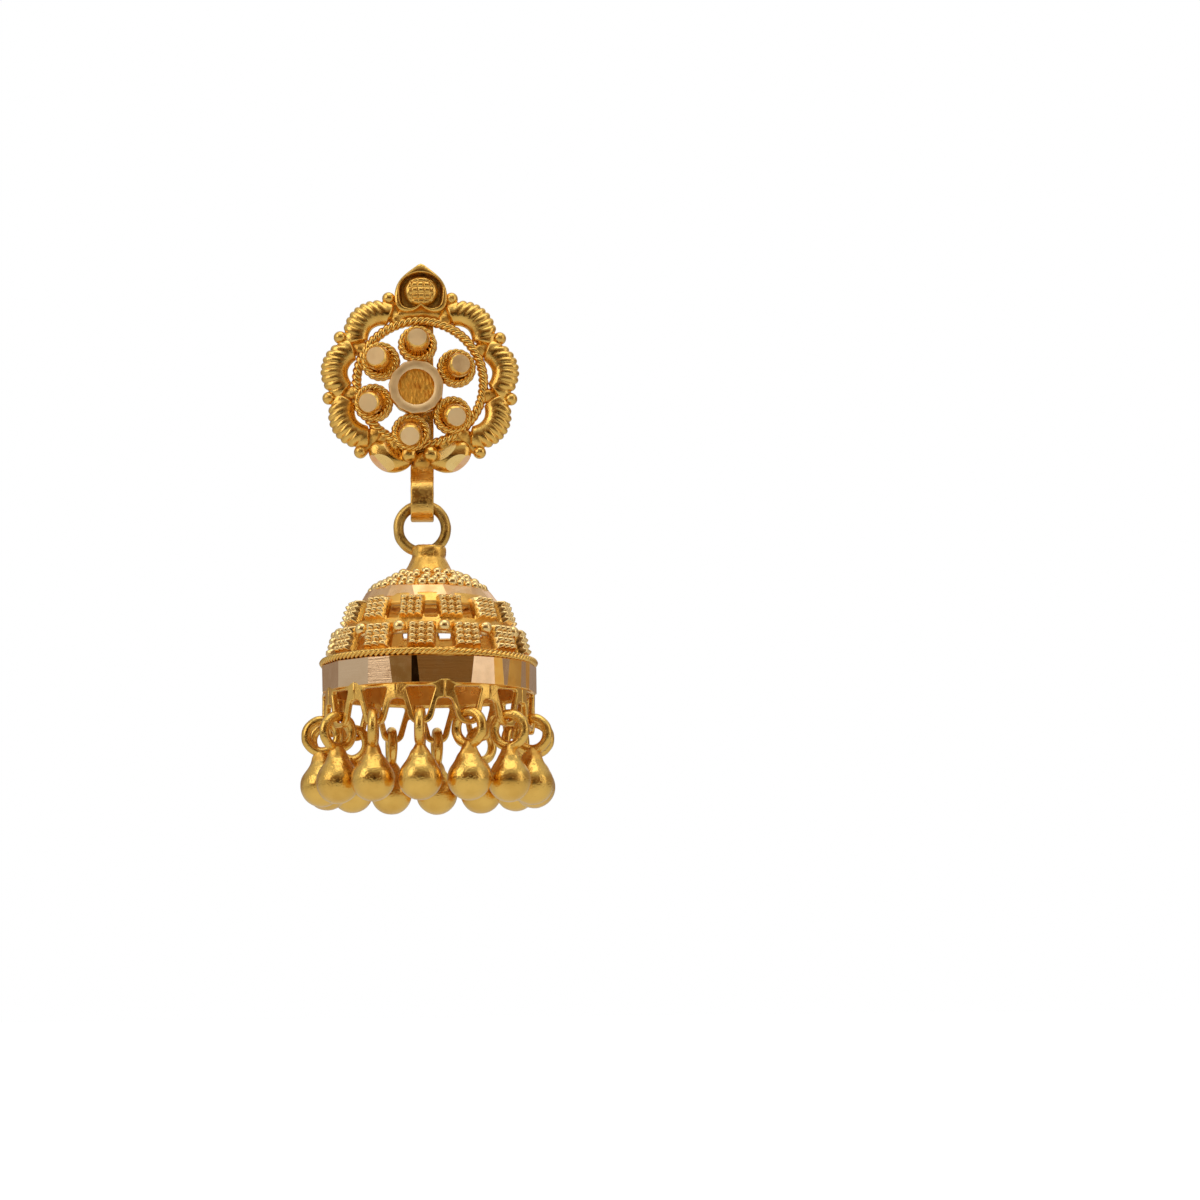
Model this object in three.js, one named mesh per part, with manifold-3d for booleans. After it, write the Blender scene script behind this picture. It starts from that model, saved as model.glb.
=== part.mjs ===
// A gold jhumka earring: an openwork rosette stud, a strap, and a bell with fourteen round drops.
// Millimetres, +Z up. The front faces -Y, and the ear is at +Y.
// The origin is where the post leaves the back of the rosette, on the ear lobe.
import * as THREE from "three";
import { mergeVertices } from "three/addons/utils/BufferGeometryUtils.js";
import Module from "manifold-3d";

const wasm = await Module();
wasm.setup();

// Rosette: the twisted ring and what stands on it
const ROSETTE_X = -0.16;
const TWIST_RING_RADIUS = 4.84;
const TWIST_RING_WIRE = 0.66;
const TWIST_RING_Y = -0.7;
const TWIST_RING_SIDES = 26;
const TWIST_WIRE_SIDES = 6;
const BACK_STRIP_THICKNESS = 0.45;
const SOLDER_OVERLAP = 0.1;

// Petals, in degrees anticlockwise from +X as seen from the front
const PETAL_ANGLES = [50, 10, -30, 130, 170, 210];
const PETAL_HALF_SPAN_DEG = 16;
const PETAL_BULGE = 0.75;
const PETAL_WIDTH = 2.05;
const PETAL_END_WIDTH = 1.6;
const PETAL_DEPTH = 1.5;
const PETAL_RIBS = 6;
const PETAL_RIB_DEPTH = 0.06;
const PETAL_SIDES = 7;

// Small beads and the webs that carry them
const BEAD_ANGLES = [70, 30, -10, -50, 110, 150, 190, 230];
const SMALL_BEAD_DIAMETER = 0.95;
const SMALL_BEAD_REACH = 1.75;
const BEAD_SIDES = 10;
const BEAD_ROWS = 3;
const WEB_WIDTH = 1.2;
const WEB_DEPTH = 0.8;
const LEAF_WEB_ANGLES = [-68, -112];

// Crest at the top
const CREST_WIDTH = 4.06;
const CREST_HEIGHT = 3.8;
const CREST_DEPTH = 1.35;
const CREST_RECESS = 0.5;
const CREST_RECESS_HALF_WIDTH = 1.62;
const CREST_RECESS_HALF_HEIGHT = 1.45;
const CREST_RECESS_UP = 1.75;
const CREST_DOME_RADIUS = 1.2;
const CREST_DOME_UP = 1.55;
const CREST_LIFT = 0.3;
const CREST_PLATE_WIDTH = 3.05;
const CREST_PLATE_HEIGHT = 1.5;
const CREST_CURVE_STEPS = 3;
const CREST_RECESS_STEPS = 6;

// Leaves at the bottom
const LEAF_LENGTH = 3.3;
const LEAF_WIDTH = 1.9;
const LEAF_DEPTH = 1.5;
const LEAF_SPREAD = 2.3;
const LEAF_DROP = 0.9;
const LEAF_TILT_DEG = -10;
const LEAF_CURL_RADIUS = 0.42;
const LEAF_FACET_CUT = 0.3;
const LEAF_FACET_DEG = 22;

// Boss in the middle and the six cups round it
const BOSS_OFFSET = { x: -0.29, z: -0.55 };
const BOSS_RADIUS = 2.1;
const BOSS_FRONT_Y = -2.0;
const BOSS_THICKNESS = 0.9;
const BOSS_RECESS_RADIUS = 1.4;
const BOSS_RECESS_DEPTH = 0.3;
const BOSS_SIDES = 14;
const CUP_ANGLES = [88.5, 28, -37, -97, -161, 142];
const COIL_RADIUS = 1.5;
const COIL_WIRE = 0.45;
const COIL_DEPTH = 0.8;
const COIL_SINK = 0.15;
const COIL_SIDES = 12;
const COIL_WIRE_SIDES = 5;
const PIP_RADIUS = 0.9;
const PIP_FACET_RADIUS = 0.68;
const PIP_HEIGHT = 1.15;
const PIP_SHOULDER = 0.35;
const PIP_LEAN_DEG = 18;
const PIP_SIDES = 8;

// Strap folded into a loop round the hanging ring
const STRAP_WIDTH = 1.74;
const STRAP_THICKNESS = 0.45;
const STRAP_LOOP_INNER_RADIUS = 0.85;
const LOOP_CENTRE_Z = -9.6;
const STRAP_LOOP_STEPS = 8;

// Hanging ring
const HANG_RING_DIAMETER = 4.38;
const HANG_RING_WIRE = 0.79;
const HANG_RING_SIDES = 16;
const HANG_WIRE_SIDES = 6;

// Ear post and screw back
const POST_RADIUS = 0.45;
const POST_LENGTH = 8.8;
const POST_FOOT_RADIUS = 1.0;
const POST_FOOT_THICKNESS = 0.35;
const SOLDER_GAP = 0.1;
const POST_SIDES = 12;
const POST_TIP = 1.2;
const SCREW_RADIUS = 1.6;
const SCREW_END_RADIUS = 0.96;
const SCREW_THICKNESS = 2.6;
const SCREW_SIDES = 14;
const SCREW_CLEARANCE = 0.15;

// Bell, from the neck down to the rim. Heights are drops below the hanging ring's inner bottom
const DOME_X = 0.5;
const NECK_RADIUS = 1.3;
const NECK_FLARE_RADIUS = 1.65;
const NECK_HEIGHT = 0.95;
const NECK_FLARE_HEIGHT = 0.9;
const CAP_RADIUS = 4.45;
const CAP_HEIGHT = 1.25;
const UPPER_BAND_RADIUS = 5.1;
const UPPER_BAND_HEIGHT = 1.1;
const ROW_HEIGHT = 2.2;
const ROW_1_FOOT_RADIUS = 6.3;
const ROW_2_FOOT_RADIUS = 7.25;
const SHOULDER_HEIGHT = 0.6;
const SHELL_WALL = 0.45;
const DOME_SIDES = 26;

// Raised squares, windows and balls
const REPEATS = 13;
const FIRST_ANGLE_DEG = -4.5;
const ROW_1_SHIFT_DEG = 6;
const SQUARE_SIDE = 1.84;
const SQUARE_RISE = 0.55;
const SQUARE_AT = 0.55;
const ROW_1_WINDOW = { width: 0.7, height: 1.1, at: 0.62 };
const ROW_2_WINDOW = { width: 1.0, height: 1.1, at: 0.66 };
const BALL_RADIUS = 0.47;
const BALL_AT = 0.16;
const BALL_SIDES = 10;
const BALL_ROWS = 3;

// Twisted wire and faceted rim band
const RIM_RADIUS = 8.1;
const RIM_HEIGHT = 2.05;
const RIM_WALL = 0.7;
const RIM_WIRE = 0.46;
const RIM_FACET_EDGES_DEG = [
  -33, -20, -9, 23, 36, 53, 67, 90, 114, 138, 162, 186, 210, 234, 258, 282, 305,
];

// Pierced skirt: one loop for each drop, with an open arch between two loops
const DROP_COUNT = 14;
const LOOP_WINDOW_WIDTH = 2.0;
const LOOP_WINDOW_TOP = 0.3;
const ARCH_TOP = 1.45;
const ARCH_HALF_WIDTH = 0.5;
const LOOP_MEETING = 0.03;
const LOOP_DROP = 2.95;
const LOOP_BAR = 0.4;
const LOOP_THICKNESS = 0.42;
const LOOP_ARC_STEPS = 3;

// Round drops
const DROP_RING_DIAMETER = 3.0;
const DROP_RING_WIRE = 0.66;
const DROP_CLEARANCE = 0.15;
const DROP_OUTSET = 0.25;
const DROP_BALL_DIAMETER = 3.18;
const DROP_NECK_RADIUS = 0.62;
const DROP_NECK_GAP = 0.56;
const DROP_SIDES = 10;
const LINK_SIDES = 10;
const LINK_WIRE_SIDES = 5;
const DROP_BALL_ROWS = 5;
const DROP_BALL_TOP_DEG = 55;

// Places worked out from the sizes above
const LOOP_OUTER_RADIUS = STRAP_LOOP_INNER_RADIUS + STRAP_THICKNESS;
const HANG_Y = -LOOP_OUTER_RADIUS;
const RING_CENTRE_RADIUS = (HANG_RING_DIAMETER - HANG_RING_WIRE) / 2;
const HANG_RING_Z = LOOP_CENTRE_Z - RING_CENTRE_RADIUS;
const NECK_TOP_Z = HANG_RING_Z - RING_CENTRE_RADIUS + HANG_RING_WIRE / 2;
const NECK_FOOT_Z = NECK_TOP_Z - NECK_HEIGHT;
const CAP_TOP_Z = NECK_FOOT_Z - NECK_FLARE_HEIGHT;
const BAND_TOP_Z = CAP_TOP_Z - CAP_HEIGHT;
const ROW_1_TOP_Z = BAND_TOP_Z - UPPER_BAND_HEIGHT;
const ROW_2_TOP_Z = ROW_1_TOP_Z - ROW_HEIGHT;
const SHOULDER_Z = ROW_2_TOP_Z - ROW_HEIGHT;
const RIM_TOP_Z = SHOULDER_Z - SHOULDER_HEIGHT;
const RIM_FOOT_Z = RIM_TOP_Z - RIM_HEIGHT;
const SKIRT_RADIUS = RIM_RADIUS - RIM_WALL / 2;
const LOOP_HALF_WIDTH = SKIRT_RADIUS * Math.tan(Math.PI / DROP_COUNT) + LOOP_MEETING;
const SKIRT_ARC_RADIUS = DROP_RING_WIRE / 2 + DROP_CLEARANCE;
const LINK_CENTRE_RADIUS = (DROP_RING_DIAMETER - DROP_RING_WIRE) / 2;
const LINK_TOP_Z = RIM_FOOT_Z - LOOP_DROP + LOOP_BAR + SKIRT_ARC_RADIUS;
const LINK_CENTRE_Z = LINK_TOP_Z - LINK_CENTRE_RADIUS;
const DROP_CIRCLE_RADIUS = SKIRT_RADIUS + DROP_OUTSET;
const DROP_BALL_Z =
  LINK_CENTRE_Z - DROP_RING_DIAMETER / 2 - DROP_NECK_GAP - DROP_BALL_DIAMETER / 2;
const LOBE_GAP = POST_LENGTH - POST_TIP - SCREW_THICKNESS;
const PETAL_END_RADIUS =
  TWIST_RING_RADIUS + TWIST_RING_WIRE / 2 + PETAL_END_WIDTH / 2 - SOLDER_OVERLAP;
const CUP_DISTANCE = BOSS_RADIUS + COIL_RADIUS - COIL_SINK;
const COIL_Y = TWIST_RING_Y - TWIST_RING_WIRE / 2 - COIL_DEPTH / 2 + SOLDER_OVERLAP;
const LEAF_Z = -(TWIST_RING_RADIUS + TWIST_RING_WIRE / 2 + LEAF_DROP);

const radians = THREE.MathUtils.degToRad;

// A closed manifold solid from a three.js geometry, with its shared corners joined
function toSolid(geometry) {
  const bare = geometry.clone();
  bare.deleteAttribute("normal");
  bare.deleteAttribute("uv");
  const merged = mergeVertices(bare, 1e-4);
  const corners = merged.index.array;
  const kept = [];
  for (let i = 0; i < corners.length; i += 3) {
    const [a, b, c] = [corners[i], corners[i + 1], corners[i + 2]];
    if (a !== b && b !== c && c !== a) kept.push(a, b, c);
  }
  return new wasm.Manifold(
    new wasm.Mesh({
      numProp: 3,
      vertProperties: new Float32Array(merged.attributes.position.array),
      triVerts: new Uint32Array(kept),
    }),
  );
}

function fuse(geometries) {
  return geometries.map(toSolid).reduce((whole, next) => whole.add(next));
}

function toMesh(name, solid, material) {
  const { vertProperties, triVerts, numProp, numVert } = solid.getMesh();
  const positions = new Float32Array(numVert * 3);
  for (let i = 0; i < numVert; i++) {
    positions.set(vertProperties.subarray(i * numProp, i * numProp + 3), i * 3);
  }
  const geometry = new THREE.BufferGeometry();
  geometry.setAttribute("position", new THREE.BufferAttribute(positions, 3));
  geometry.setIndex(new THREE.BufferAttribute(new Uint32Array(triVerts), 1));
  geometry.computeVertexNormals();
  const mesh = new THREE.Mesh(geometry, material);
  mesh.name = name;
  return mesh;
}

// A body turned round the Y axis from [radius, y] points, given anticlockwise
function turned(points, sides) {
  const profile = points.map(([radius, y]) => new THREE.Vector2(radius, y));
  return new THREE.LatheGeometry(profile, sides);
}

// The same body with its axis along Z
function turnedUpright(points, sides) {
  return turned(points, sides).rotateX(Math.PI / 2);
}

// A closed wire ring whose axis is Y. The wire may be deeper along Y than it is wide
function wireRing(radius, wire, depth, sides, wireSides) {
  const points = [];
  for (let i = 0; i <= wireSides; i++) {
    const a = ((i % wireSides) / wireSides) * 2 * Math.PI;
    points.push([radius + (wire / 2) * Math.cos(a), (depth / 2) * Math.sin(a)]);
  }
  return turned(points, sides);
}

// Turns a piece made on the +X side of the rosette to its angle, seen from the front
function atRosetteAngle(geometry, degrees) {
  return geometry.rotateY(-radians(degrees)).translate(ROSETTE_X, 0, 0);
}

// Turns a piece made at the front of the bell round the bell's axis
function atBellAngle(geometry, degrees) {
  return geometry.rotateZ(radians(degrees)).translate(DOME_X, HANG_Y, 0);
}

// One ribbed petal: a tapered rod bent outwards, with a rib at every second step
function petal(degrees) {
  const steps = PETAL_RIBS * 2;
  const rod = new THREE.CylinderGeometry(1, 1, 2, PETAL_SIDES, steps);
  const place = rod.attributes.position;
  const centreLine = (share) => {
    const angle = radians(share * PETAL_HALF_SPAN_DEG);
    const radius = PETAL_END_RADIUS + PETAL_BULGE * (1 - share * share);
    return new THREE.Vector3(radius * Math.cos(angle), 0, radius * Math.sin(angle));
  };
  for (let i = 0; i < place.count; i++) {
    const share = place.getY(i);
    const along = centreLine(share + 0.01).sub(centreLine(share - 0.01)).normalize();
    const outward = new THREE.Vector3(along.z, 0, -along.x);
    const swell = 1 - share * share;
    const rib = 1 + PETAL_RIB_DEPTH * Math.cos((share + 1) * PETAL_RIBS * Math.PI);
    const width = PETAL_END_WIDTH + (PETAL_WIDTH - PETAL_END_WIDTH) * swell;
    const depth = (PETAL_DEPTH * width) / PETAL_WIDTH;
    const point = centreLine(share);
    point.addScaledVector(outward, (place.getX(i) * rib * width) / 2);
    point.y = -PETAL_DEPTH / 2 - (place.getZ(i) * rib * depth) / 2;
    place.setXYZ(i, point.x, point.y, point.z);
  }
  return atRosetteAngle(rod, degrees);
}

// A small bead and the web of solder that joins it to the twisted ring
function smallBead(degrees) {
  const outer = TWIST_RING_RADIUS + SMALL_BEAD_REACH;
  const reach = outer + SMALL_BEAD_DIAMETER / 2;
  const bead = new THREE.SphereGeometry(SMALL_BEAD_DIAMETER / 2, BEAD_SIDES, BEAD_ROWS);
  bead.translate(reach, TWIST_RING_Y - SOLDER_OVERLAP, 0);
  return [atRosetteAngle(bead, degrees), web(degrees, outer + SOLDER_OVERLAP)];
}

function web(degrees, reach) {
  const length = reach - TWIST_RING_RADIUS;
  const bar = new THREE.BoxGeometry(length, WEB_DEPTH, WEB_WIDTH);
  bar.translate(TWIST_RING_RADIUS + length / 2, TWIST_RING_Y, 0);
  return atRosetteAngle(bar, degrees);
}

// The crest's spade outline, in shares of its half width and its height
function crestOutline() {
  const half = CREST_WIDTH / 2;
  const tall = CREST_HEIGHT;
  const shape = new THREE.Shape();
  shape.moveTo(0, tall);
  shape.bezierCurveTo(0.42 * half, 0.8 * tall, half, 0.62 * tall, half, 0.28 * tall);
  shape.bezierCurveTo(half, 0.08 * tall, 0.78 * half, 0, 0.5 * half, 0);
  shape.bezierCurveTo(0.28 * half, 0, 0.12 * half, 0.07 * tall, 0, 0.14 * tall);
  shape.bezierCurveTo(-0.12 * half, 0.07 * tall, -0.28 * half, 0, -0.5 * half, 0);
  shape.bezierCurveTo(-0.78 * half, 0, -half, 0.08 * tall, -half, 0.28 * tall);
  shape.bezierCurveTo(-half, 0.62 * tall, -0.42 * half, 0.8 * tall, 0, tall);
  return shape;
}

function crest() {
  const foot = TWIST_RING_RADIUS + TWIST_RING_WIRE / 2 + CREST_LIFT;
  const raise = (shape, from, curveSegments) =>
    new THREE.ExtrudeGeometry(shape, { depth: CREST_DEPTH, bevelEnabled: false, curveSegments })
      .rotateX(Math.PI / 2)
      .translate(0, from, 0);
  const body = raise(crestOutline(), 0, CREST_CURVE_STEPS);
  const hollowed = new THREE.Shape().absellipse(
    0,
    CREST_RECESS_UP,
    CREST_RECESS_HALF_WIDTH,
    CREST_RECESS_HALF_HEIGHT,
    0,
    2 * Math.PI,
  );
  const recess = raise(hollowed, CREST_RECESS - CREST_DEPTH, CREST_RECESS_STEPS);
  const dome = new THREE.SphereGeometry(CREST_DOME_RADIUS, 12, 5);
  dome.scale(1, (CREST_RECESS + SOLDER_OVERLAP) / CREST_DOME_RADIUS, 1);
  dome.translate(0, CREST_RECESS - CREST_DEPTH, CREST_DOME_UP);
  const place = (geometry) => geometry.translate(ROSETTE_X, 0, foot);
  const plate = new THREE.BoxGeometry(CREST_PLATE_WIDTH, WEB_DEPTH, CREST_PLATE_HEIGHT);
  plate.translate(ROSETTE_X, -WEB_DEPTH / 2 - SOLDER_OVERLAP, foot);
  const hollow = toSolid(place(body)).subtract(toSolid(place(recess)));
  return hollow.add(toSolid(place(dome))).add(toSolid(plate));
}

// A leaf: a flattened bean with a facet cut off its lower front, and a curl at its inner end
function leaf(side) {
  const bean = new THREE.SphereGeometry(0.5, 12, 6);
  bean.scale(LEAF_LENGTH, LEAF_DEPTH, LEAF_WIDTH);
  const knife = new THREE.BoxGeometry(LEAF_LENGTH * 2, LEAF_DEPTH, LEAF_WIDTH * 2);
  knife.translate(0, -LEAF_DEPTH + LEAF_FACET_CUT, 0).rotateX(radians(LEAF_FACET_DEG));
  const cut = toSolid(bean).subtract(toSolid(knife));
  const place = (solid) =>
    solid
      .rotate([0, side * LEAF_TILT_DEG, 0])
      .translate([ROSETTE_X + side * LEAF_SPREAD, -LEAF_DEPTH / 2, LEAF_Z]);
  const curl = new THREE.SphereGeometry(LEAF_CURL_RADIUS, 10, 4);
  const inward = (LEAF_LENGTH - LEAF_CURL_RADIUS) / 2;
  curl.translate(-side * inward, -LEAF_CURL_RADIUS / 2, LEAF_CURL_RADIUS);
  return place(cut).add(place(toSolid(curl)));
}

function boss() {
  const back = BOSS_FRONT_Y + BOSS_THICKNESS;
  const floor = BOSS_FRONT_Y + BOSS_RECESS_DEPTH;
  const body = turned(
    [
      [0, floor],
      [BOSS_RECESS_RADIUS, floor],
      [BOSS_RECESS_RADIUS, BOSS_FRONT_Y],
      [BOSS_RADIUS, BOSS_FRONT_Y],
      [BOSS_RADIUS, back],
      [BOSS_RECESS_RADIUS, -BACK_STRIP_THICKNESS + SOLDER_OVERLAP],
      [0, -BACK_STRIP_THICKNESS + SOLDER_OVERLAP],
    ],
    BOSS_SIDES,
  );
  return body.translate(ROSETTE_X + BOSS_OFFSET.x, 0, BOSS_OFFSET.z);
}

// A cup: a coil of wire with a stubby pip in it, which leans away from the boss and ends flat
function cup(degrees) {
  const coilRadius = COIL_RADIUS - COIL_WIRE / 2;
  const coil = wireRing(coilRadius, COIL_WIRE, COIL_DEPTH, COIL_SIDES, COIL_WIRE_SIDES);
  const root = COIL_DEPTH / 2 - SOLDER_OVERLAP;
  const tip = root - COIL_DEPTH - PIP_HEIGHT;
  const stem = COIL_RADIUS - COIL_WIRE + SOLDER_OVERLAP;
  const pip = turned(
    [
      [0, tip],
      [PIP_FACET_RADIUS, tip],
      [PIP_RADIUS, tip + PIP_SHOULDER],
      [stem, 0],
      [stem, root],
      [0, root],
    ],
    PIP_SIDES,
  );
  pip.rotateZ(radians(PIP_LEAN_DEG));
  return fuse([coil, pip])
    .translate([CUP_DISTANCE, COIL_Y, 0])
    .rotate([0, -degrees, 0])
    .translate([ROSETTE_X + BOSS_OFFSET.x, 0, BOSS_OFFSET.z]);
}

// The back strip behind the rosette, and its lower end folded into a loop
function strap() {
  const top = TWIST_RING_RADIUS;
  const strip = new THREE.BoxGeometry(STRAP_WIDTH, STRAP_THICKNESS, top - LOOP_CENTRE_Z);
  strip.translate(0, -STRAP_THICKNESS / 2, (top + LOOP_CENTRE_Z) / 2);
  const outline = new THREE.Shape().absarc(0, 0, LOOP_OUTER_RADIUS, 0, 2 * Math.PI);
  outline.holes.push(new THREE.Path().absarc(0, 0, STRAP_LOOP_INNER_RADIUS, 0, 2 * Math.PI));
  const loop = new THREE.ExtrudeGeometry(outline, {
    depth: STRAP_WIDTH,
    bevelEnabled: false,
    curveSegments: STRAP_LOOP_STEPS,
  });
  loop.translate(0, 0, -STRAP_WIDTH / 2).rotateY(Math.PI / 2).translate(0, HANG_Y, LOOP_CENTRE_Z);
  return [strip, loop];
}

function rosette() {
  const twistRing = wireRing(
    TWIST_RING_RADIUS,
    TWIST_RING_WIRE,
    TWIST_RING_WIRE,
    TWIST_RING_SIDES,
    TWIST_WIRE_SIDES,
  );
  twistRing.translate(ROSETTE_X, TWIST_RING_Y, 0);
  const leafWebs = LEAF_WEB_ANGLES.map((degrees) => web(degrees, -LEAF_Z));
  let solid = fuse([
    twistRing,
    ...PETAL_ANGLES.map(petal),
    ...BEAD_ANGLES.flatMap(smallBead),
    ...leafWebs,
    boss(),
    ...strap(),
  ]);
  for (const degrees of CUP_ANGLES) solid = solid.add(cup(degrees));
  return solid.add(crest()).add(leaf(1)).add(leaf(-1));
}

function earPost() {
  const foot = SOLDER_GAP;
  return toSolid(
    turned(
      [
        [0, foot],
        [POST_FOOT_RADIUS, foot],
        [POST_FOOT_RADIUS, foot + POST_FOOT_THICKNESS],
        [POST_RADIUS, foot + POST_FOOT_THICKNESS],
        [POST_RADIUS, POST_LENGTH],
        [0, POST_LENGTH],
      ],
      POST_SIDES,
    ),
  );
}

function screwBack() {
  const bore = POST_RADIUS + SCREW_CLEARANCE;
  const far = LOBE_GAP + SCREW_THICKNESS;
  return toSolid(
    turned(
      [
        [bore, LOBE_GAP],
        [SCREW_RADIUS, LOBE_GAP],
        [SCREW_RADIUS, far - SCREW_THICKNESS / 2],
        [SCREW_END_RADIUS, far],
        [bore, far],
        [bore, LOBE_GAP],
      ],
      SCREW_SIDES,
    ),
  );
}

// The bell's hollow shell, from the neck to the shoulder above the rim band
function bellShell() {
  const w = SHELL_WALL;
  return turnedUpright(
    [
      [0, CAP_TOP_Z - w],
      [CAP_RADIUS - w, BAND_TOP_Z - w],
      [UPPER_BAND_RADIUS - w, ROW_1_TOP_Z],
      [ROW_1_FOOT_RADIUS - w, ROW_2_TOP_Z],
      [ROW_2_FOOT_RADIUS - w, SHOULDER_Z],
      [RIM_RADIUS - RIM_WALL, RIM_TOP_Z - SOLDER_OVERLAP],
      [RIM_RADIUS - RIM_WALL / 2, RIM_TOP_Z - SOLDER_OVERLAP],
      [RIM_RADIUS - RIM_WALL / 2, RIM_TOP_Z + SOLDER_OVERLAP],
      [ROW_2_FOOT_RADIUS, SHOULDER_Z],
      [ROW_1_FOOT_RADIUS, ROW_2_TOP_Z],
      [UPPER_BAND_RADIUS, ROW_1_TOP_Z],
      [CAP_RADIUS, BAND_TOP_Z],
      [NECK_FLARE_RADIUS, CAP_TOP_Z],
      [NECK_RADIUS, NECK_FOOT_Z],
      [NECK_RADIUS, NECK_TOP_Z],
      [0, NECK_TOP_Z],
    ],
    DOME_SIDES,
  );
}

// A block laid on the slope of one row of the bell: along is 0 at the row's top and 1 at its foot
function onRow(row, block, along, rise, degrees) {
  const lean = Math.atan2(row.footRadius - row.topRadius, ROW_HEIGHT);
  const radius = THREE.MathUtils.lerp(row.topRadius, row.footRadius, along);
  block.translate(0, -rise, 0).rotateX(-lean).translate(0, -radius, row.topZ - along * ROW_HEIGHT);
  return atBellAngle(block, degrees);
}

const ROWS = [
  {
    topRadius: UPPER_BAND_RADIUS,
    footRadius: ROW_1_FOOT_RADIUS,
    topZ: ROW_1_TOP_Z,
    first: FIRST_ANGLE_DEG + ROW_1_SHIFT_DEG + 180 / REPEATS,
    window: ROW_1_WINDOW,
    balls: false,
  },
  {
    topRadius: ROW_1_FOOT_RADIUS,
    footRadius: ROW_2_FOOT_RADIUS,
    topZ: ROW_2_TOP_Z,
    first: FIRST_ANGLE_DEG,
    window: ROW_2_WINDOW,
    balls: true,
  },
];

function dropAngle(i) {
  return FIRST_ANGLE_DEG + (i * 360) / DROP_COUNT;
}

// One loop of the pierced skirt, drawn flat: a V with its window cut through, whose outer corners
// are given from its middle outwards. The corners of two neighbours make the arch between them
function skirtLoop(degrees) {
  const low = -LOOP_DROP + LOOP_BAR + SKIRT_ARC_RADIUS;
  const vee = (path, radius, corners) => {
    const arc = [];
    for (let i = 0; i <= LOOP_ARC_STEPS; i++) {
      const a = Math.PI * (1 + i / LOOP_ARC_STEPS);
      arc.push([radius * Math.cos(a), low + radius * Math.sin(a)]);
    }
    const left = corners.map(([x, y]) => [-x, y]).reverse();
    const outline = [...left, ...arc, ...corners];
    return path.setFromPoints(outline.map(([x, y]) => new THREE.Vector2(x, y)));
  };
  const outer = vee(new THREE.Shape(), SKIRT_ARC_RADIUS + LOOP_BAR, [
    [LOOP_HALF_WIDTH - ARCH_HALF_WIDTH, -ARCH_TOP - LOOP_BAR / 2],
    [LOOP_HALF_WIDTH, -ARCH_TOP],
    [LOOP_HALF_WIDTH, SOLDER_OVERLAP],
  ]);
  const windowCorner = [LOOP_WINDOW_WIDTH / 2, -LOOP_WINDOW_TOP];
  outer.holes.push(vee(new THREE.Path(), SKIRT_ARC_RADIUS, [windowCorner]));
  const bar = new THREE.ExtrudeGeometry(outer, { depth: LOOP_THICKNESS, bevelEnabled: false });
  bar.rotateX(Math.PI / 2).translate(0, LOOP_THICKNESS / 2 - SKIRT_RADIUS, RIM_FOOT_Z);
  return atBellAngle(bar, degrees);
}

// The rim band: a ring whose outside is cut into flat facets of uneven width
function rimBand() {
  const outline = new THREE.Shape(
    RIM_FACET_EDGES_DEG.map((degrees) => {
      const a = radians(degrees - 90);
      return new THREE.Vector2(RIM_RADIUS * Math.cos(a), RIM_RADIUS * Math.sin(a));
    }),
  );
  const inside = new THREE.Path().absarc(0, 0, RIM_RADIUS - RIM_WALL, 0, 2 * Math.PI);
  outline.holes.push(inside);
  const band = new THREE.ExtrudeGeometry(outline, {
    depth: RIM_HEIGHT,
    bevelEnabled: false,
    curveSegments: REPEATS,
  });
  return band.translate(DOME_X, HANG_Y, RIM_FOOT_Z);
}

function dome() {
  const hangRing = wireRing(
    RING_CENTRE_RADIUS,
    HANG_RING_WIRE,
    HANG_RING_WIRE,
    HANG_RING_SIDES,
    HANG_WIRE_SIDES,
  );
  hangRing.rotateY(Math.PI / HANG_RING_SIDES).translate(0, HANG_Y, HANG_RING_Z);
  const wireRadius = RIM_RADIUS - RIM_WIRE / 2 + SOLDER_OVERLAP;
  const rimWire = wireRing(wireRadius, RIM_WIRE, RIM_WIRE, DOME_SIDES, 5);
  rimWire.rotateX(Math.PI / 2).translate(DOME_X, HANG_Y, RIM_TOP_Z + RIM_WIRE / 2 - SOLDER_OVERLAP);
  const shell = bellShell().translate(DOME_X, HANG_Y, 0);
  let solid = toSolid(shell);
  const raised = [];
  const pitch = 360 / REPEATS;
  for (const row of ROWS) {
    for (let i = 0; i < REPEATS; i++) {
      const at = row.first + i * pitch;
      const gap = at + pitch / 2;
      const square = new THREE.BoxGeometry(SQUARE_SIDE, SQUARE_RISE + SHELL_WALL / 2, SQUARE_SIDE);
      raised.push(onRow(row, square, SQUARE_AT, SQUARE_RISE / 2 - SHELL_WALL / 4, at));
      const hole = new THREE.BoxGeometry(row.window.width, SHELL_WALL * 4, row.window.height);
      solid = solid.subtract(toSolid(onRow(row, hole, row.window.at, 0, gap)));
      if (row.balls) {
        const ball = new THREE.SphereGeometry(BALL_RADIUS, BALL_SIDES, BALL_ROWS);
        raised.push(onRow(row, ball, BALL_AT, BALL_RADIUS / 2, gap));
      }
    }
  }
  for (let i = 0; i < DROP_COUNT; i++) raised.push(skirtLoop(dropAngle(i)));
  return solid.add(fuse([hangRing, rimWire, rimBand()])).add(fuse(raised));
}

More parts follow.
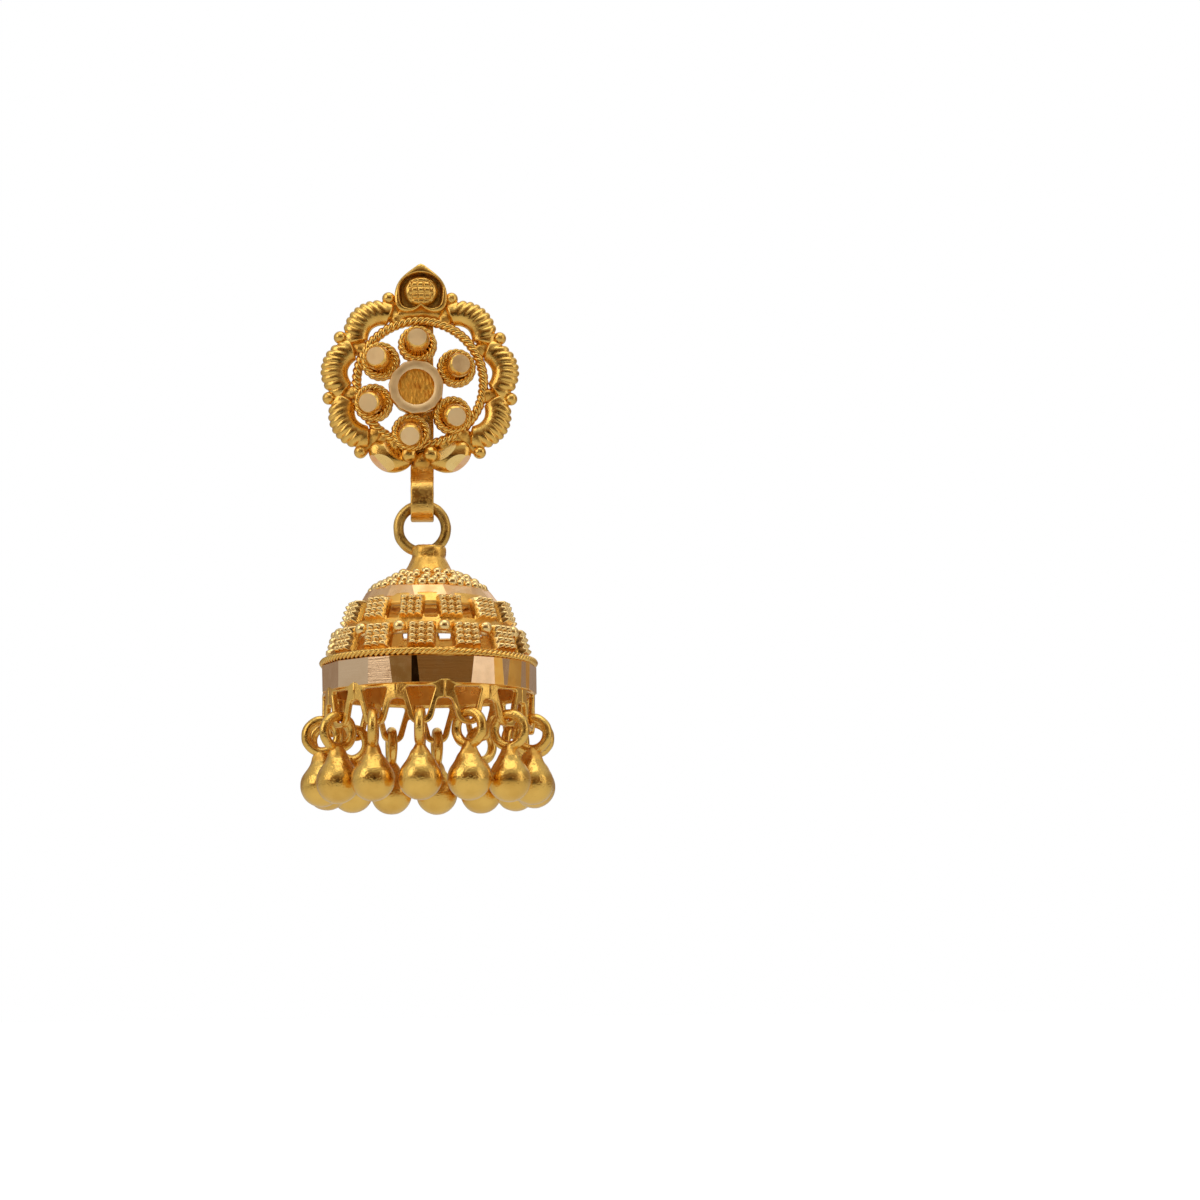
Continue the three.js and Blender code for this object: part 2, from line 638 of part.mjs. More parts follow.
// A round drop: a ball with a pear neck, soldered to a ring that hangs in its skirt loop
function beadDrop(degrees) {
  const ballRadius = DROP_BALL_DIAMETER / 2;
  const neckTop = LINK_CENTRE_Z - LINK_CENTRE_RADIUS;
  const points = [[0, DROP_BALL_Z - ballRadius]];
  for (let i = 1; i <= DROP_BALL_ROWS; i++) {
    const a = radians(-90 + (i / DROP_BALL_ROWS) * (90 + DROP_BALL_TOP_DEG));
    points.push([ballRadius * Math.cos(a), DROP_BALL_Z + ballRadius * Math.sin(a)]);
  }
  points.push([DROP_NECK_RADIUS, neckTop - DROP_RING_WIRE / 2], [0, neckTop]);
  const ball = turnedUpright(points, DROP_SIDES);
  const link = wireRing(LINK_CENTRE_RADIUS, DROP_RING_WIRE, DROP_RING_WIRE, LINK_SIDES, LINK_WIRE_SIDES);
  link.rotateZ(Math.PI / 2).translate(0, 0, LINK_CENTRE_Z);
  const place = (piece) => atBellAngle(piece.translate(0, -DROP_CIRCLE_RADIUS, 0), degrees);
  return fuse([place(ball), place(link)]);
}

function gold(colour, roughness) {
  return new THREE.MeshStandardMaterial({ color: colour, roughness, metalness: 1 });
}

const group = new THREE.Group();
group.add(toMesh("rosette", rosette(), gold(0xd9a441, 0.32)));
group.add(toMesh("ear_post", earPost(), gold(0xcf9a3a, 0.4)));
group.add(toMesh("screw_back", screwBack(), gold(0xcf9a3a, 0.4)));
group.add(toMesh("dome", dome(), gold(0xd69e3c, 0.3)));
for (let i = 0; i < DROP_COUNT; i++) {
  const name = "bead_drop_" + String(i + 1).padStart(2, "0");
  group.add(toMesh(name, beadDrop(dropAngle(i)), gold(0xcb9535, 0.38)));
}

export default group;
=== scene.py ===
import math

import bmesh
import bpy
from mathutils import Matrix, Vector, noise


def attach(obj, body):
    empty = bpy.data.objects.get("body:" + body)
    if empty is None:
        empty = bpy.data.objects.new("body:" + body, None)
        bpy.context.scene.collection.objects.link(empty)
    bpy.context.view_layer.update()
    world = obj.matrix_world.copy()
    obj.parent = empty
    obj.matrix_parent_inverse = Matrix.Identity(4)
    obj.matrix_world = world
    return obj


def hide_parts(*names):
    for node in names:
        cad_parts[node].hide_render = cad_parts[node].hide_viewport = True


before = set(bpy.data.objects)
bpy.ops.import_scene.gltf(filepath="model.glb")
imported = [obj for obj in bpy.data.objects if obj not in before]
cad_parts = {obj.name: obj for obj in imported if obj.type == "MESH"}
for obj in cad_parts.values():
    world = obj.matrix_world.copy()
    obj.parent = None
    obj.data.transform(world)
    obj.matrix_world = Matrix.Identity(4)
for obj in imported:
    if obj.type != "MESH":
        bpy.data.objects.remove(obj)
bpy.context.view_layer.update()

# Twisted ring of the rosette
# Two gold strands twisted into a rope and closed into a ring. Everything else of the rosette
# is soldered to it. Bright yellow gold, with deep amber painted into the grooves as shade.
MM = 0.001
ROSETTE_X = -0.16
TWIST_RING_RADIUS = 4.84
TWIST_RING_DEPTH = 0.72
ROPE_WIDTH = 0.8
ROPE_PITCH = 1.4
FACE_UP = Matrix(((1, 0, 0, 0), (0, 0, -1, 0), (0, 1, 0, 0), (0, 0, 0, 1)))
ROSETTE = Matrix.Translation((ROSETTE_X, 0, 0)) @ FACE_UP
GOLD_BRIGHT = (0.90, 0.55, 0.13, 1)
# Deep amber: painted shade in grooves and corners, and the tone of random cloudy patches.
GOLD_DEEP = (0.55, 0.19, 0.008, 1)


def sockets(tree, inputs, outputs):
    """Gives a node group its named inputs, with their first values, and its named outputs."""
    for name, kind, value in inputs:
        tree.interface.new_socket(name, in_out="INPUT", socket_type=kind).default_value = value
    for name, kind in outputs:
        tree.interface.new_socket(name, in_out="OUTPUT", socket_type=kind)
    return tree.nodes.new("NodeGroupInput"), tree.nodes.new("NodeGroupOutput")


def gold_tone_group():
    """Gold with deep amber painted into grooves and corners as painted shade, and soft cloudy changes of tone."""
    tree = bpy.data.node_groups.new("gold_tone", "ShaderNodeTree")
    colour, number = "NodeSocketColor", "NodeSocketFloat"
    inside, out = sockets(
        tree,
        [("Bright", colour, GOLD_BRIGHT), ("Deep", colour, GOLD_DEEP), ("Groove Shade", number, 1.0),
         ("Cloud Scale", number, 900.0), ("Cloud", number, 0.25)],
        [("Colour", colour), ("Groove Mask", number)],
    )
    nodes, link = tree.nodes, tree.links.new
    shape = nodes.new("ShaderNodeNewGeometry")
    # Painted shade: where Pointiness finds a groove or corner, the colour turns towards deep amber.
    groove = nodes.new("ShaderNodeMapRange")
    groove.inputs["From Min"].default_value = 0.505
    groove.inputs["From Max"].default_value = 0.43
    link(shape.outputs["Pointiness"], groove.inputs["Value"])
    strength = nodes.new("ShaderNodeMath")
    strength.operation = "MULTIPLY"
    strength.use_clamp = True
    link(groove.outputs["Result"], strength.inputs[0])
    link(inside.outputs["Groove Shade"], strength.inputs[1])
    place = nodes.new("ShaderNodeTexCoord")
    cloud = nodes.new("ShaderNodeTexNoise")
    cloud.inputs["Detail"].default_value = 3.0
    link(place.outputs["Object"], cloud.inputs["Vector"])
    link(inside.outputs["Cloud Scale"], cloud.inputs["Scale"])
    patch = nodes.new("ShaderNodeMapRange")
    patch.inputs["From Min"].default_value = 0.45
    patch.inputs["From Max"].default_value = 0.75
    link(cloud.outputs["Fac"], patch.inputs["Value"])
    patch_share = nodes.new("ShaderNodeMath")
    patch_share.operation = "MULTIPLY"
    link(patch.outputs["Result"], patch_share.inputs[0])
    link(inside.outputs["Cloud"], patch_share.inputs[1])
    both = nodes.new("ShaderNodeMath")
    both.operation = "MAXIMUM"
    link(strength.outputs[0], both.inputs[0])
    link(patch_share.outputs[0], both.inputs[1])
    mix = nodes.new("ShaderNodeMix")
    mix.data_type = "RGBA"
    link(both.outputs[0], mix.inputs["Factor"])
    link(inside.outputs["Bright"], mix.inputs["A"])
    link(inside.outputs["Deep"], mix.inputs["B"])
    link(mix.outputs["Result"], out.inputs["Colour"])
    link(strength.outputs[0], out.inputs["Groove Mask"])
    return tree


def surface_group():
    """Fine pits, level cutting lines and soft hammer marks, as a height and as a roughness."""
    tree = bpy.data.node_groups.new("metal_surface", "ShaderNodeTree")
    number = "NodeSocketFloat"
    inside, out = sockets(
        tree,
        [("Pit Scale", number, 6000.0), ("Pits", number, 0.5), ("Wave Scale", number, 1300.0),
         ("Waves", number, 0.5), ("Lines", number, 0.0), ("Smooth", number, 0.2),
         ("Rough", number, 0.35)],
        [("Height", number), ("Roughness", number)],
    )
    nodes, link = tree.nodes, tree.links.new
    place = nodes.new("ShaderNodeTexCoord")
    pits = nodes.new("ShaderNodeTexNoise")
    pits.inputs["Detail"].default_value = 4.0
    link(place.outputs["Object"], pits.inputs["Vector"])
    link(inside.outputs["Pit Scale"], pits.inputs["Scale"])
    hollow = nodes.new("ShaderNodeMapRange")
    hollow.inputs["From Min"].default_value = 0.28
    hollow.inputs["From Max"].default_value = 0.5
    link(pits.outputs["Fac"], hollow.inputs["Value"])
    waves = nodes.new("ShaderNodeTexNoise")
    waves.inputs["Detail"].default_value = 1.5
    link(place.outputs["Object"], waves.inputs["Vector"])
    link(inside.outputs["Wave Scale"], waves.inputs["Scale"])
    pit_height = nodes.new("ShaderNodeMath")
    pit_height.operation = "MULTIPLY"
    link(hollow.outputs["Result"], pit_height.inputs[0])
    link(inside.outputs["Pits"], pit_height.inputs[1])
    wave_height = nodes.new("ShaderNodeMath")
    wave_height.operation = "MULTIPLY_ADD"
    link(waves.outputs["Fac"], wave_height.inputs[0])
    link(inside.outputs["Waves"], wave_height.inputs[1])
    link(pit_height.outputs[0], wave_height.inputs[2])
    stretch = nodes.new("ShaderNodeMapping")
    stretch.inputs["Scale"].default_value = (0.04, 0.04, 1.0)
    link(place.outputs["Object"], stretch.inputs["Vector"])
    lines = nodes.new("ShaderNodeTexNoise")
    lines.inputs["Scale"].default_value = 9000.0
    lines.inputs["Detail"].default_value = 2.0
    link(stretch.outputs["Vector"], lines.inputs["Vector"])
    height = nodes.new("ShaderNodeMath")
    height.operation = "MULTIPLY_ADD"
    link(lines.outputs["Fac"], height.inputs[0])
    link(inside.outputs["Lines"], height.inputs[1])
    link(wave_height.outputs[0], height.inputs[2])
    link(height.outputs[0], out.inputs["Height"])
    rough = nodes.new("ShaderNodeMapRange")
    rough.inputs["From Min"].default_value = 0.35
    rough.inputs["From Max"].default_value = 0.65
    link(waves.outputs["Fac"], rough.inputs["Value"])
    link(inside.outputs["Smooth"], rough.inputs["To Min"])
    link(inside.outputs["Rough"], rough.inputs["To Max"])
    link(rough.outputs["Result"], out.inputs["Roughness"])
    return tree


GOLD_TONE = gold_tone_group()
METAL_SURFACE = surface_group()


def gold(name, bright=GOLD_BRIGHT, deep=GOLD_DEEP, tone=(), surface=(), bump=0.02):
    """A gold finish: its tone and surface groups with their values, and a bump in millimetres."""
    material = bpy.data.materials.new(name)
    material.use_nodes = True
    nodes, link = material.node_tree.nodes, material.node_tree.links.new
    shader = nodes["Principled BSDF"]
    shader.inputs["Metallic"].default_value = 1.0
    colours = nodes.new("ShaderNodeGroup")
    colours.node_tree = GOLD_TONE
    colours.inputs["Bright"].default_value = bright
    colours.inputs["Deep"].default_value = deep
    for key, value in dict(tone).items():
        colours.inputs[key].default_value = value
    skin = nodes.new("ShaderNodeGroup")
    skin.node_tree = METAL_SURFACE
    for key, value in dict(surface).items():
        skin.inputs[key].default_value = value
    relief = nodes.new("ShaderNodeBump")
    relief.inputs["Strength"].default_value = 0.6
    relief.inputs["Distance"].default_value = bump * MM
    link(colours.outputs["Colour"], shader.inputs["Base Color"])
    link(skin.outputs["Roughness"], shader.inputs["Roughness"])
    link(skin.outputs["Height"], relief.inputs["Height"])
    link(relief.outputs["Normal"], shader.inputs["Normal"])
    return material


class Work:
    """The points and faces of one soldered piece, in millimetres, with a finish for each face."""

    def __init__(self):
        self.points, self.faces, self.finishes, self.flats = [], [], [], []

    def add(self, shape, place=Matrix(), finish=0, flat=False):
        points, faces = shape
        start = len(self.points)
        self.points += [place @ Vector(p) for p in points]
        self.faces += [[start + i for i in face] for face in faces]
        self.finishes += [finish] * len(faces)
        self.flats += [flat] * len(faces)
        return self

    def piece(self, name, materials, body, node, slot):
        """Makes the object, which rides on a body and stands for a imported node."""
        mesh = bpy.data.meshes.new(name)
        mesh.from_pydata([p * MM for p in self.points], [], self.faces)
        for material in materials:
            mesh.materials.append(material)
        for face, finish, flat in zip(mesh.polygons, self.finishes, self.flats):
            face.material_index = finish
            face.use_smooth = not flat
        mesh.update()
        made = bpy.data.objects.new(name, mesh)
        bpy.context.scene.collection.objects.link(made)
        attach(made, body)
        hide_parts(node)
        return made


def grid(rows, columns, point, close_rows=False, close_columns=False):
    """Points laid out by a function of row and column, joined by four-sided faces."""
    points = [point(i, j) for i in range(rows) for j in range(columns)]
    faces = []
    for i in range(rows if close_rows else rows - 1):
        for j in range(columns if close_columns else columns - 1):
            a, b = i * columns + j, i * columns + (j + 1) % columns
            c = ((i + 1) % rows) * columns
            faces.append([a, b, c + (j + 1) % columns, c + j])
    return points, faces


def wire(path, radius, sides=8, closed=False, across=None, squash=1.0):
    """A wire along a path, with round ends left flat. across gives each point's sideways direction."""
    count = len(path)
    path = [Vector(p) for p in path]
    rings = []
    side = Vector((0.3, 0.5, 0.8))
    for i, point in enumerate(path):
        ahead = path[(i + 1) % count] if closed else path[min(i + 1, count - 1)]
        behind = path[i - 1] if closed or i else path[0]
        along = (ahead - behind).normalized()
        side = Vector(across[i]) if across else side
        side = (side - along * side.dot(along)).normalized()
        lift = along.cross(side)
        size = radius[i] if isinstance(radius, (list, tuple)) else radius
        rings.append((point, side * size, lift * size * squash))
    def at(i, j):
        point, side, lift = rings[i]
        a = 2 * math.pi * j / sides
        return point + side * math.cos(a) + lift * math.sin(a)
    points, faces = grid(count, sides, at, closed, True)
    if not closed:
        faces += [list(range(sides))[::-1], [(count - 1) * sides + j for j in range(sides)]]
    return points, faces


def rope_ring(radius, width, pitch, sides=6, steps=13):
    """Three twisted strands closed into a ring whose axis is Z."""
    turns = round(2 * math.pi * radius / pitch)
    count = turns * steps
    points, faces = [], []
    for strand in range(3):
        path, across = [], []
        for i in range(count):
            a = 2 * math.pi * i / count
            twist = turns * a + strand * 2 * math.pi / 3
            outward = Vector((math.cos(a), math.sin(a), 0))
            path.append(outward * (radius + width * 0.26 * math.cos(twist))
                        + Vector((0, 0, width * 0.26 * math.sin(twist))))
            across.append(outward)
        more_points, more_faces = wire(path, width * 0.235, sides, True, across)
        faces += [[len(points) + i for i in face] for face in more_faces]
        points += more_points
    return points, faces


STUD = ("stud", "rosette", "gold_stud")
wire_gold = gold(
    "wire_gold", tone={"Groove Shade": 1.1, "Cloud": 0.2}, surface={"Smooth": 0.12, "Rough": 0.22, "Waves": 0.3}
)
twist_ring = Work().add(
    rope_ring(TWIST_RING_RADIUS, ROPE_WIDTH, ROPE_PITCH),
    ROSETTE @ Matrix.Translation((0, 0, TWIST_RING_DEPTH + 0.22)),
)
twist_ring.piece("rosette_twisted_ring", [wire_gold], *STUD)

# Ribbed petals of the rosette
# Six cast gold gadroons, bent round the twisted ring, with slanting ribs and smooth ends.
# Their ends are soldered to the ring.
PETAL_ANGLES = (50, 10, -30, 130, 170, 210)
PETAL_HALF_SPAN = math.radians(18.2)
PETAL_END_RADIUS = 5.68
PETAL_BULGE = 0.95
PETAL_WIDTH = 2.1
PETAL_END_WIDTH = 1.75
PETAL_DEPTH = 1.5
PETAL_RIB_SPACING = 0.46
PETAL_RIB_DEPTH = 0.17
PETAL_SLANT = 0.5
PETAL_STEPS = 130
PETAL_SIDES = 34


def smooth_step(low, high, value):
    share = min(1.0, max(0.0, (value - low) / (high - low)))
    return share * share * (3 - 2 * share)


def polar(radius, angle, depth=0.0):
    return Vector((radius * math.cos(angle), radius * math.sin(angle), depth))


def petal(side):
    """A bent horn in the plane of the rosette, centred on +X. side turns the slant of its ribs."""
    def centre(share):
        return polar(PETAL_END_RADIUS + PETAL_BULGE * (1 - share * share), share * PETAL_HALF_SPAN)

    def at(i, j):
        share = 2 * i / (PETAL_STEPS - 1) - 1
        around = 2 * math.pi * j / PETAL_SIDES
        along = (centre(share + 0.01) - centre(share - 0.01)).normalized()
        outward = Vector((along.y, -along.x, 0))
        swell = (1 - abs(share) ** 2.4)
        width = PETAL_END_WIDTH + (PETAL_WIDTH - PETAL_END_WIDTH) * swell
        tip = math.sqrt(max(0.0, 1 - max(0.0, (abs(share) - 0.9) / 0.1) ** 2))
        half = width / 2 * tip
        line = centre(share)
        surface = line + outward * (math.cos(around) * half)
        phase = (line.y * 0.45 + surface.y * 0.55) / PETAL_RIB_SPACING
        phase += side * PETAL_SLANT * (math.cos(around) + 0.5 * math.sin(around))
        ridge = abs(math.sin(math.pi * phase)) ** 0.6
        where = smooth_step(0.92, 0.66, abs(share)) * smooth_step(-0.5, 0.25, math.cos(around))
        half -= PETAL_RIB_DEPTH * (1 - ridge) * where * tip
        depth = half * PETAL_DEPTH / PETAL_WIDTH
        point = line + outward * (math.cos(around) * half)
        point.z = PETAL_DEPTH / 2 + math.sin(around) * depth
        return point

    points, faces = grid(PETAL_STEPS, PETAL_SIDES, at, False, True)
    return points, [face[::-1] for face in faces]


cast_gold = gold(
    "cast_gold", tone={"Groove Shade": 1.0, "Cloud": 0.25}, surface={"Smooth": 0.14, "Rough": 0.3, "Waves": 0.8}
)
petals = Work()
for angle in PETAL_ANGLES:
    turn = Matrix.Rotation(math.radians(angle), 4, "Z")
    petals.add(petal(1 if abs(angle) < 90 else -1), ROSETTE @ turn)
petals.piece("rosette_petals", [cast_gold], *STUD)

# Small beads and solder of the rosette
# Eight solid gold beads between the petals, each on a web of solder that joins it to the ring.
# Solder runs are lumpy and deeper in colour.
BEAD_ANGLES = (70, 30, -10, -50, 110, 150, 190, 230)
BEAD_RADIUS = 0.5
BEAD_CIRCLE = 7.05
BEAD_DEPTH = 0.8
WEB_FROM = 4.95
WEB_RADIUS = 0.6
noise.seed_set(11)


def lumpy(shape, size, scale):
    """Moves each point a little, so that a surface looks hand worked."""
    points, faces = shape
    moved = [Vector(p) + noise.noise_vector(Vector(p) * scale) * size for p in points]
    return moved, faces


def ball(radius, rows=14, columns=20):
    def at(i, j):
        up = math.pi * (i / (rows - 1) - 0.5)
        return polar(radius * math.cos(up), 2 * math.pi * j / columns, radius * math.sin(up))

    return grid(rows, columns, at, False, True)


def web(reach, radius, thin=0.9, taper=0.3):
    """A run of solder from the twisted ring outwards, along +X."""
    steps = 18
    path = [(WEB_FROM + (reach - WEB_FROM) * i / (steps - 1), 0, 0) for i in range(steps)]
    sizes = [radius * (1 - taper * (i / (steps - 1)) ** 0.8) for i in range(steps)]
    return wire(path, sizes, 18, False, [(0, 1, 0)] * steps, thin)


solder_gold = gold(
    "solder_gold", (0.90, 0.52, 0.11, 1), (0.55, 0.2, 0.01, 1),
    tone={"Groove Shade": 0.8, "Cloud": 0.55}, surface={"Smooth": 0.22, "Rough": 0.42, "Waves": 1.2}, bump=0.04,
)
beads = Work()
for angle in BEAD_ANGLES:
    turn = ROSETTE @ Matrix.Rotation(math.radians(angle), 4, "Z")
    beads.add(ball(BEAD_RADIUS), turn @ Matrix.Translation((BEAD_CIRCLE, 0, BEAD_DEPTH)))
    beads.add(
        lumpy(web(BEAD_CIRCLE - 0.15, WEB_RADIUS), 0.22, 1.5),
        turn @ Matrix.Translation((0, 0, TWIST_RING_DEPTH - 0.1)), 1,
    )
beads.piece("rosette_small_beads", [cast_gold, solder_gold], *STUD)

# Crest of the rosette
# A stamped gold spade with a flat raised rim, a recess painted dark as shade and a domed middle
# cut with a grid of grains. A plate below it is soldered to the ring.
CREST_WIDTH = 4.06
CREST_HEIGHT = 3.95
CREST_FOOT = 5.45
CREST_DEPTH = 1.35
CREST_FLOOR = 0.85
CREST_DOME = (1.34, 1.2)
CREST_MIDDLE = Vector((0, 1.7))
CREST_RECESS = (1.73, 1.46)
CREST_GRAIN = (0.5, 0.48)
CREST_CURVE_STEPS = 12
CREST_HALF = (
    ((0, 1.0), (0.45, 0.80), (1.0, 0.70), (1.0, 0.30)),
    ((1.0, 0.30), (1.0, 0.08), (0.78, 0.0), (0.5, 0.0)),
    ((0.5, 0.0), (0.28, 0.0), (0.12, 0.06), (0.0, 0.14)),
)


def crest_outline():
    """The spade outline clockwise from its tip, with the tip and the notch a little rounded."""
    right = []
    for corners in CREST_HALF:
        a, b, c, d = (Vector((x * CREST_WIDTH / 2, y * CREST_HEIGHT)) for x, y in corners)
        for i in range(CREST_CURVE_STEPS):
            t = i / CREST_CURVE_STEPS
            right.append(a * (1 - t) ** 3 + b * 3 * t * (1 - t) ** 2 + c * 3 * t * t * (1 - t) + d * t ** 3)
    right.append(Vector((0, CREST_HALF[2][3][1] * CREST_HEIGHT)))
    outline = right + [Vector((-p.x, p.y)) for p in right[-2:0:-1]]
    for _ in range(1):
        outline = [(outline[i - 1] + p * 2 + outline[(i + 1) % len(outline)]) / 4 for i, p in enumerate(outline)]
    return outline


def crest_wall(rows):
    """Rings of points round the crest. Each row says if it follows the recess, its scale and its height."""
    outline = [point - CREST_MIDDLE for point in crest_outline()]

    def at(i, j):
        inner, scale, depth = rows[i]
        point = outline[j]
        if inner:
            a = math.atan2(point.y, point.x)
            arch = Vector((math.cos(a) * CREST_RECESS[0], math.sin(a) * CREST_RECESS[1]))
            point = (point * 0.84).lerp(arch, smooth_step(-0.55, 0.1, math.sin(a)))
        point = point * scale + CREST_MIDDLE
        return Vector((point.x, point.y, depth))

    points, faces = grid(len(rows), len(outline), at, False, True)
    return points, [face[::-1] for face in faces]


CREST_RIM = (
    (0, 0.0, 0.0), (0, 1.0, 0.0), (0, 1.0, CREST_DEPTH - 0.14), (0, 0.985, CREST_DEPTH - 0.04),
    (0, 0.96, CREST_DEPTH - 0.01), (1, 1.04, CREST_DEPTH + 0.1),
    (1, 1.0, CREST_DEPTH + 0.07), (1, 0.96, CREST_DEPTH - 0.06),
)
CREST_SUNK = (
    (1, 0.96, CREST_DEPTH - 0.06), (1, 0.9, CREST_FLOOR + 0.08), (1, 0.8, CREST_FLOOR), (1, 0.0, CREST_FLOOR),
)


def crest_dome():
    """The domed middle, cut by crossing grooves into grains."""
    rows, columns = 60, 110

    def at(i, j):
        share = i / (rows - 1) * math.pi / 2
        flat = polar(math.sin(share), 2 * math.pi * j / columns)
        flat.x, flat.y = flat.x * CREST_DOME[0], flat.y * CREST_DOME[1]
        rise = (CREST_DEPTH - CREST_FLOOR + 0.3) * math.cos(share) ** 0.8
        inside = smooth_step(1.1, 0.9, max(abs(flat.x) / 0.88, abs(flat.y) / 0.9))
        across = abs(math.cos(math.pi * (flat.x + 0.04 * math.sin(flat.y * 3)) / CREST_GRAIN[0]))
        up = abs(math.cos(math.pi * flat.y / CREST_GRAIN[1]))
        return Vector((flat.x, flat.y, rise - 0.15 * (1 - min(across * 1.5, up, 1.0) ** 0.5) * inside))

    return grid(rows, columns, at, False, True)


crest_place = ROSETTE @ Matrix.Translation((0.06, CREST_FOOT, 0))
# Painted shade: a dark brown finish for the crest's recess and the inside of the hanging ring, where shade falls.
painted_shade_gold = gold(
    "painted_shade_gold", (0.52, 0.31, 0.07, 1), (0.14, 0.07, 0.008, 1), tone={"Groove Shade": 0.2, "Cloud": 0.9, "Cloud Scale": 1500.0},
    surface={"Smooth": 0.3, "Rough": 0.5, "Waves": 1.2, "Wave Scale": 1500.0, "Pits": 0.8}, bump=0.05,
)
crest = Work().add(crest_wall(CREST_RIM), crest_place)
# The recess walls and floor get the painted shade finish.
crest.add(crest_wall(CREST_SUNK), crest_place, 2)
crest.add(crest_dome(), crest_place @ Matrix.Translation((0, CREST_MIDDLE.y, CREST_FLOOR)))
plate = [polar(CREST_FOOT + 0.1, math.radians(72 + 36 * i / 20)) for i in range(21)]
crest.add(
    lumpy(wire(plate, [0.5] * 21, 18, False, plate, 0.9), 0.12, 1.9),
    ROSETTE @ Matrix.Translation((0, 0, TWIST_RING_DEPTH - 0.1)), 1,
)
crest.piece("rosette_crest", [cast_gold, solder_gold, painted_shade_gold], *STUD)

# Leaves of the rosette
# Two bean-shaped gold leaves at the foot, each cut with flat facets, two of them painted a brighter
# yellow as a painted highlight and one rose and pale, and ending in a small curl beside the strap.
LEAF_SPREAD = 2.3
LEAF_LOW = -5.75
LEAF_LENGTH = 3.5
LEAF_WIDTH = 2.4
LEAF_DEPTH = 1.5
LEAF_TILT = math.radians(20)
CURL_RADIUS = 0.6
LEAF_CUTS = (
    ((-0.2, 0.5, 0.84), 0.66, 1),
    ((0.1, -0.5, 0.86), 0.74, 1),
    ((0.32, -0.8, 0.5), 0.94, 2),
)


def cut_flat(shape, cuts, base=0):
    """Slices planes off a shape. Each cut has a direction, a distance and the facet's finish."""
    points, faces = shape
    body = bmesh.new()
    made = [body.verts.new(p) for p in points]
    for face in faces:
        corners = {tuple(round(c, 5) for c in points[i]): made[i] for i in face}
        if len(corners) > 2:
            body.faces.new(corners.values()).material_index = base
    bmesh.ops.remove_doubles(body, verts=body.verts, dist=1e-4)
    for direction, distance, finish in cuts:
        normal = Vector(direction).normalized()
        everything = body.verts[:] + body.edges[:] + body.faces[:]
        cut = bmesh.ops.bisect_plane(
            body, geom=everything, plane_co=normal * distance, plane_no=normal, clear_outer=True
        )["geom_cut"]
        rim = [part for part in cut if isinstance(part, bmesh.types.BMEdge)]
        for face in bmesh.ops.contextual_create(body, geom=rim)["faces"]:
            face.material_index = finish
            if face.normal.dot(normal) < 0:
                face.normal_flip()
    body.verts.index_update()
    whole = [v.co.copy() for v in body.verts]
    sides = [([v.index for v in face.verts], face.material_index) for face in body.faces]
    body.free()
    return whole, sides


def add_cut(work, cut, place, flat_from=1):
    points, sides = cut
    for finish in sorted({finish for _, finish in sides}):
        chosen = [face for face, its in sides if its == finish]
        work.add((points, chosen), place, finish, finish >= flat_from)


FACET_PALE = (0.82, 0.58, 0.35, 1)
cut_gold = gold(
    "cut_gold", FACET_PALE, (0.68, 0.44, 0.22, 1), tone={"Groove Shade": 0.0, "Cloud": 0.5, "Cloud Scale": 500.0},
    surface={"Smooth": 0.16, "Rough": 0.26, "Waves": 0.15, "Pits": 0.25, "Lines": 1.2}, bump=0.008,
)
rose_gold = gold(
    "rose_gold", (1.0, 0.62, 0.33, 1), (1.0, 0.42, 0.12, 1), tone={"Groove Shade": 0.0, "Cloud": 0.9},
    surface={"Smooth": 0.14, "Rough": 0.3, "Waves": 0.6, "Pits": 0.4}, bump=0.015,
)
# Painted highlight: the main leaf facets are painted a brighter yellow than the cast gold.
leaf_facet_highlight_gold = gold(
    "leaf_facet_highlight_gold", (1.0, 0.73, 0.28, 1), (0.9, 0.5, 0.12, 1), tone={"Groove Shade": 0.0, "Cloud": 0.5, "Cloud Scale": 500.0},
    surface={"Smooth": 0.18, "Rough": 0.3, "Waves": 0.2, "Pits": 0.3, "Lines": 0.6}, bump=0.01,
)
leaves = Work()
for side in (1, -1):
    bean = [Vector(p) for p in ball(0.5, 28, 44)[0]]
    for point in bean:
        point.x, point.y, point.z = side * point.x * LEAF_LENGTH, point.y * LEAF_WIDTH, point.z * LEAF_DEPTH
        point.y -= 0.22 * (point.x / (LEAF_LENGTH / 2)) ** 2 * -1
    bean_faces = ball(0.5, 28, 44)[1]
    if side < 0:
        bean_faces = [face[::-1] for face in bean_faces]
    cuts = [((side * x, y, z), distance, finish) for (x, y, z), distance, finish in LEAF_CUTS]
    place = ROSETTE @ Matrix.Translation((side * LEAF_SPREAD, LEAF_LOW, LEAF_DEPTH / 2))
    place = place @ Matrix.Rotation(side * LEAF_TILT, 4, "Z")
    add_cut(leaves, cut_flat((bean, bean_faces), cuts), place, 2)
    curl = Matrix.Translation((-side * (LEAF_LENGTH / 2 - 0.42), 0.62, 0.35)) @ Matrix.Diagonal((1, 1.15, 1, 1))
    leaves.add(lumpy(ball(CURL_RADIUS, 20, 28), 0.05, 1.9), place @ curl)
    for angle, reach in ((-68, 5.9), (-57, 5.6)):
        lean = math.radians(angle if side > 0 else 180 - angle)
        leaves.add(
            lumpy(web(reach, 0.62), 0.2, 1.5),
            ROSETTE @ Matrix.Rotation(lean, 4, "Z") @ Matrix.Translation((0, 0, TWIST_RING_DEPTH - 0.15)), 3,
        )
leaves.piece("rosette_leaves", [cast_gold, leaf_facet_highlight_gold, rose_gold, solder_gold], *STUD)

# Boss of the rosette
# A thick gold disc with a flat pale ring, filed to a slightly uneven edge, round a sunken
# floor that is scraped with fine grooves.
BOSS_X, BOSS_Z = -0.29, -0.55
BOSS_RADIUS = 2.14
BOSS_FRONT = 2.0
BOSS_RECESS = 1.4
BOSS_FLOOR = 1.72
BOSS_EDGES = (12, 40, 66, 95, 118, 150, 176, 205, 232, 262, 290, 312, 338)


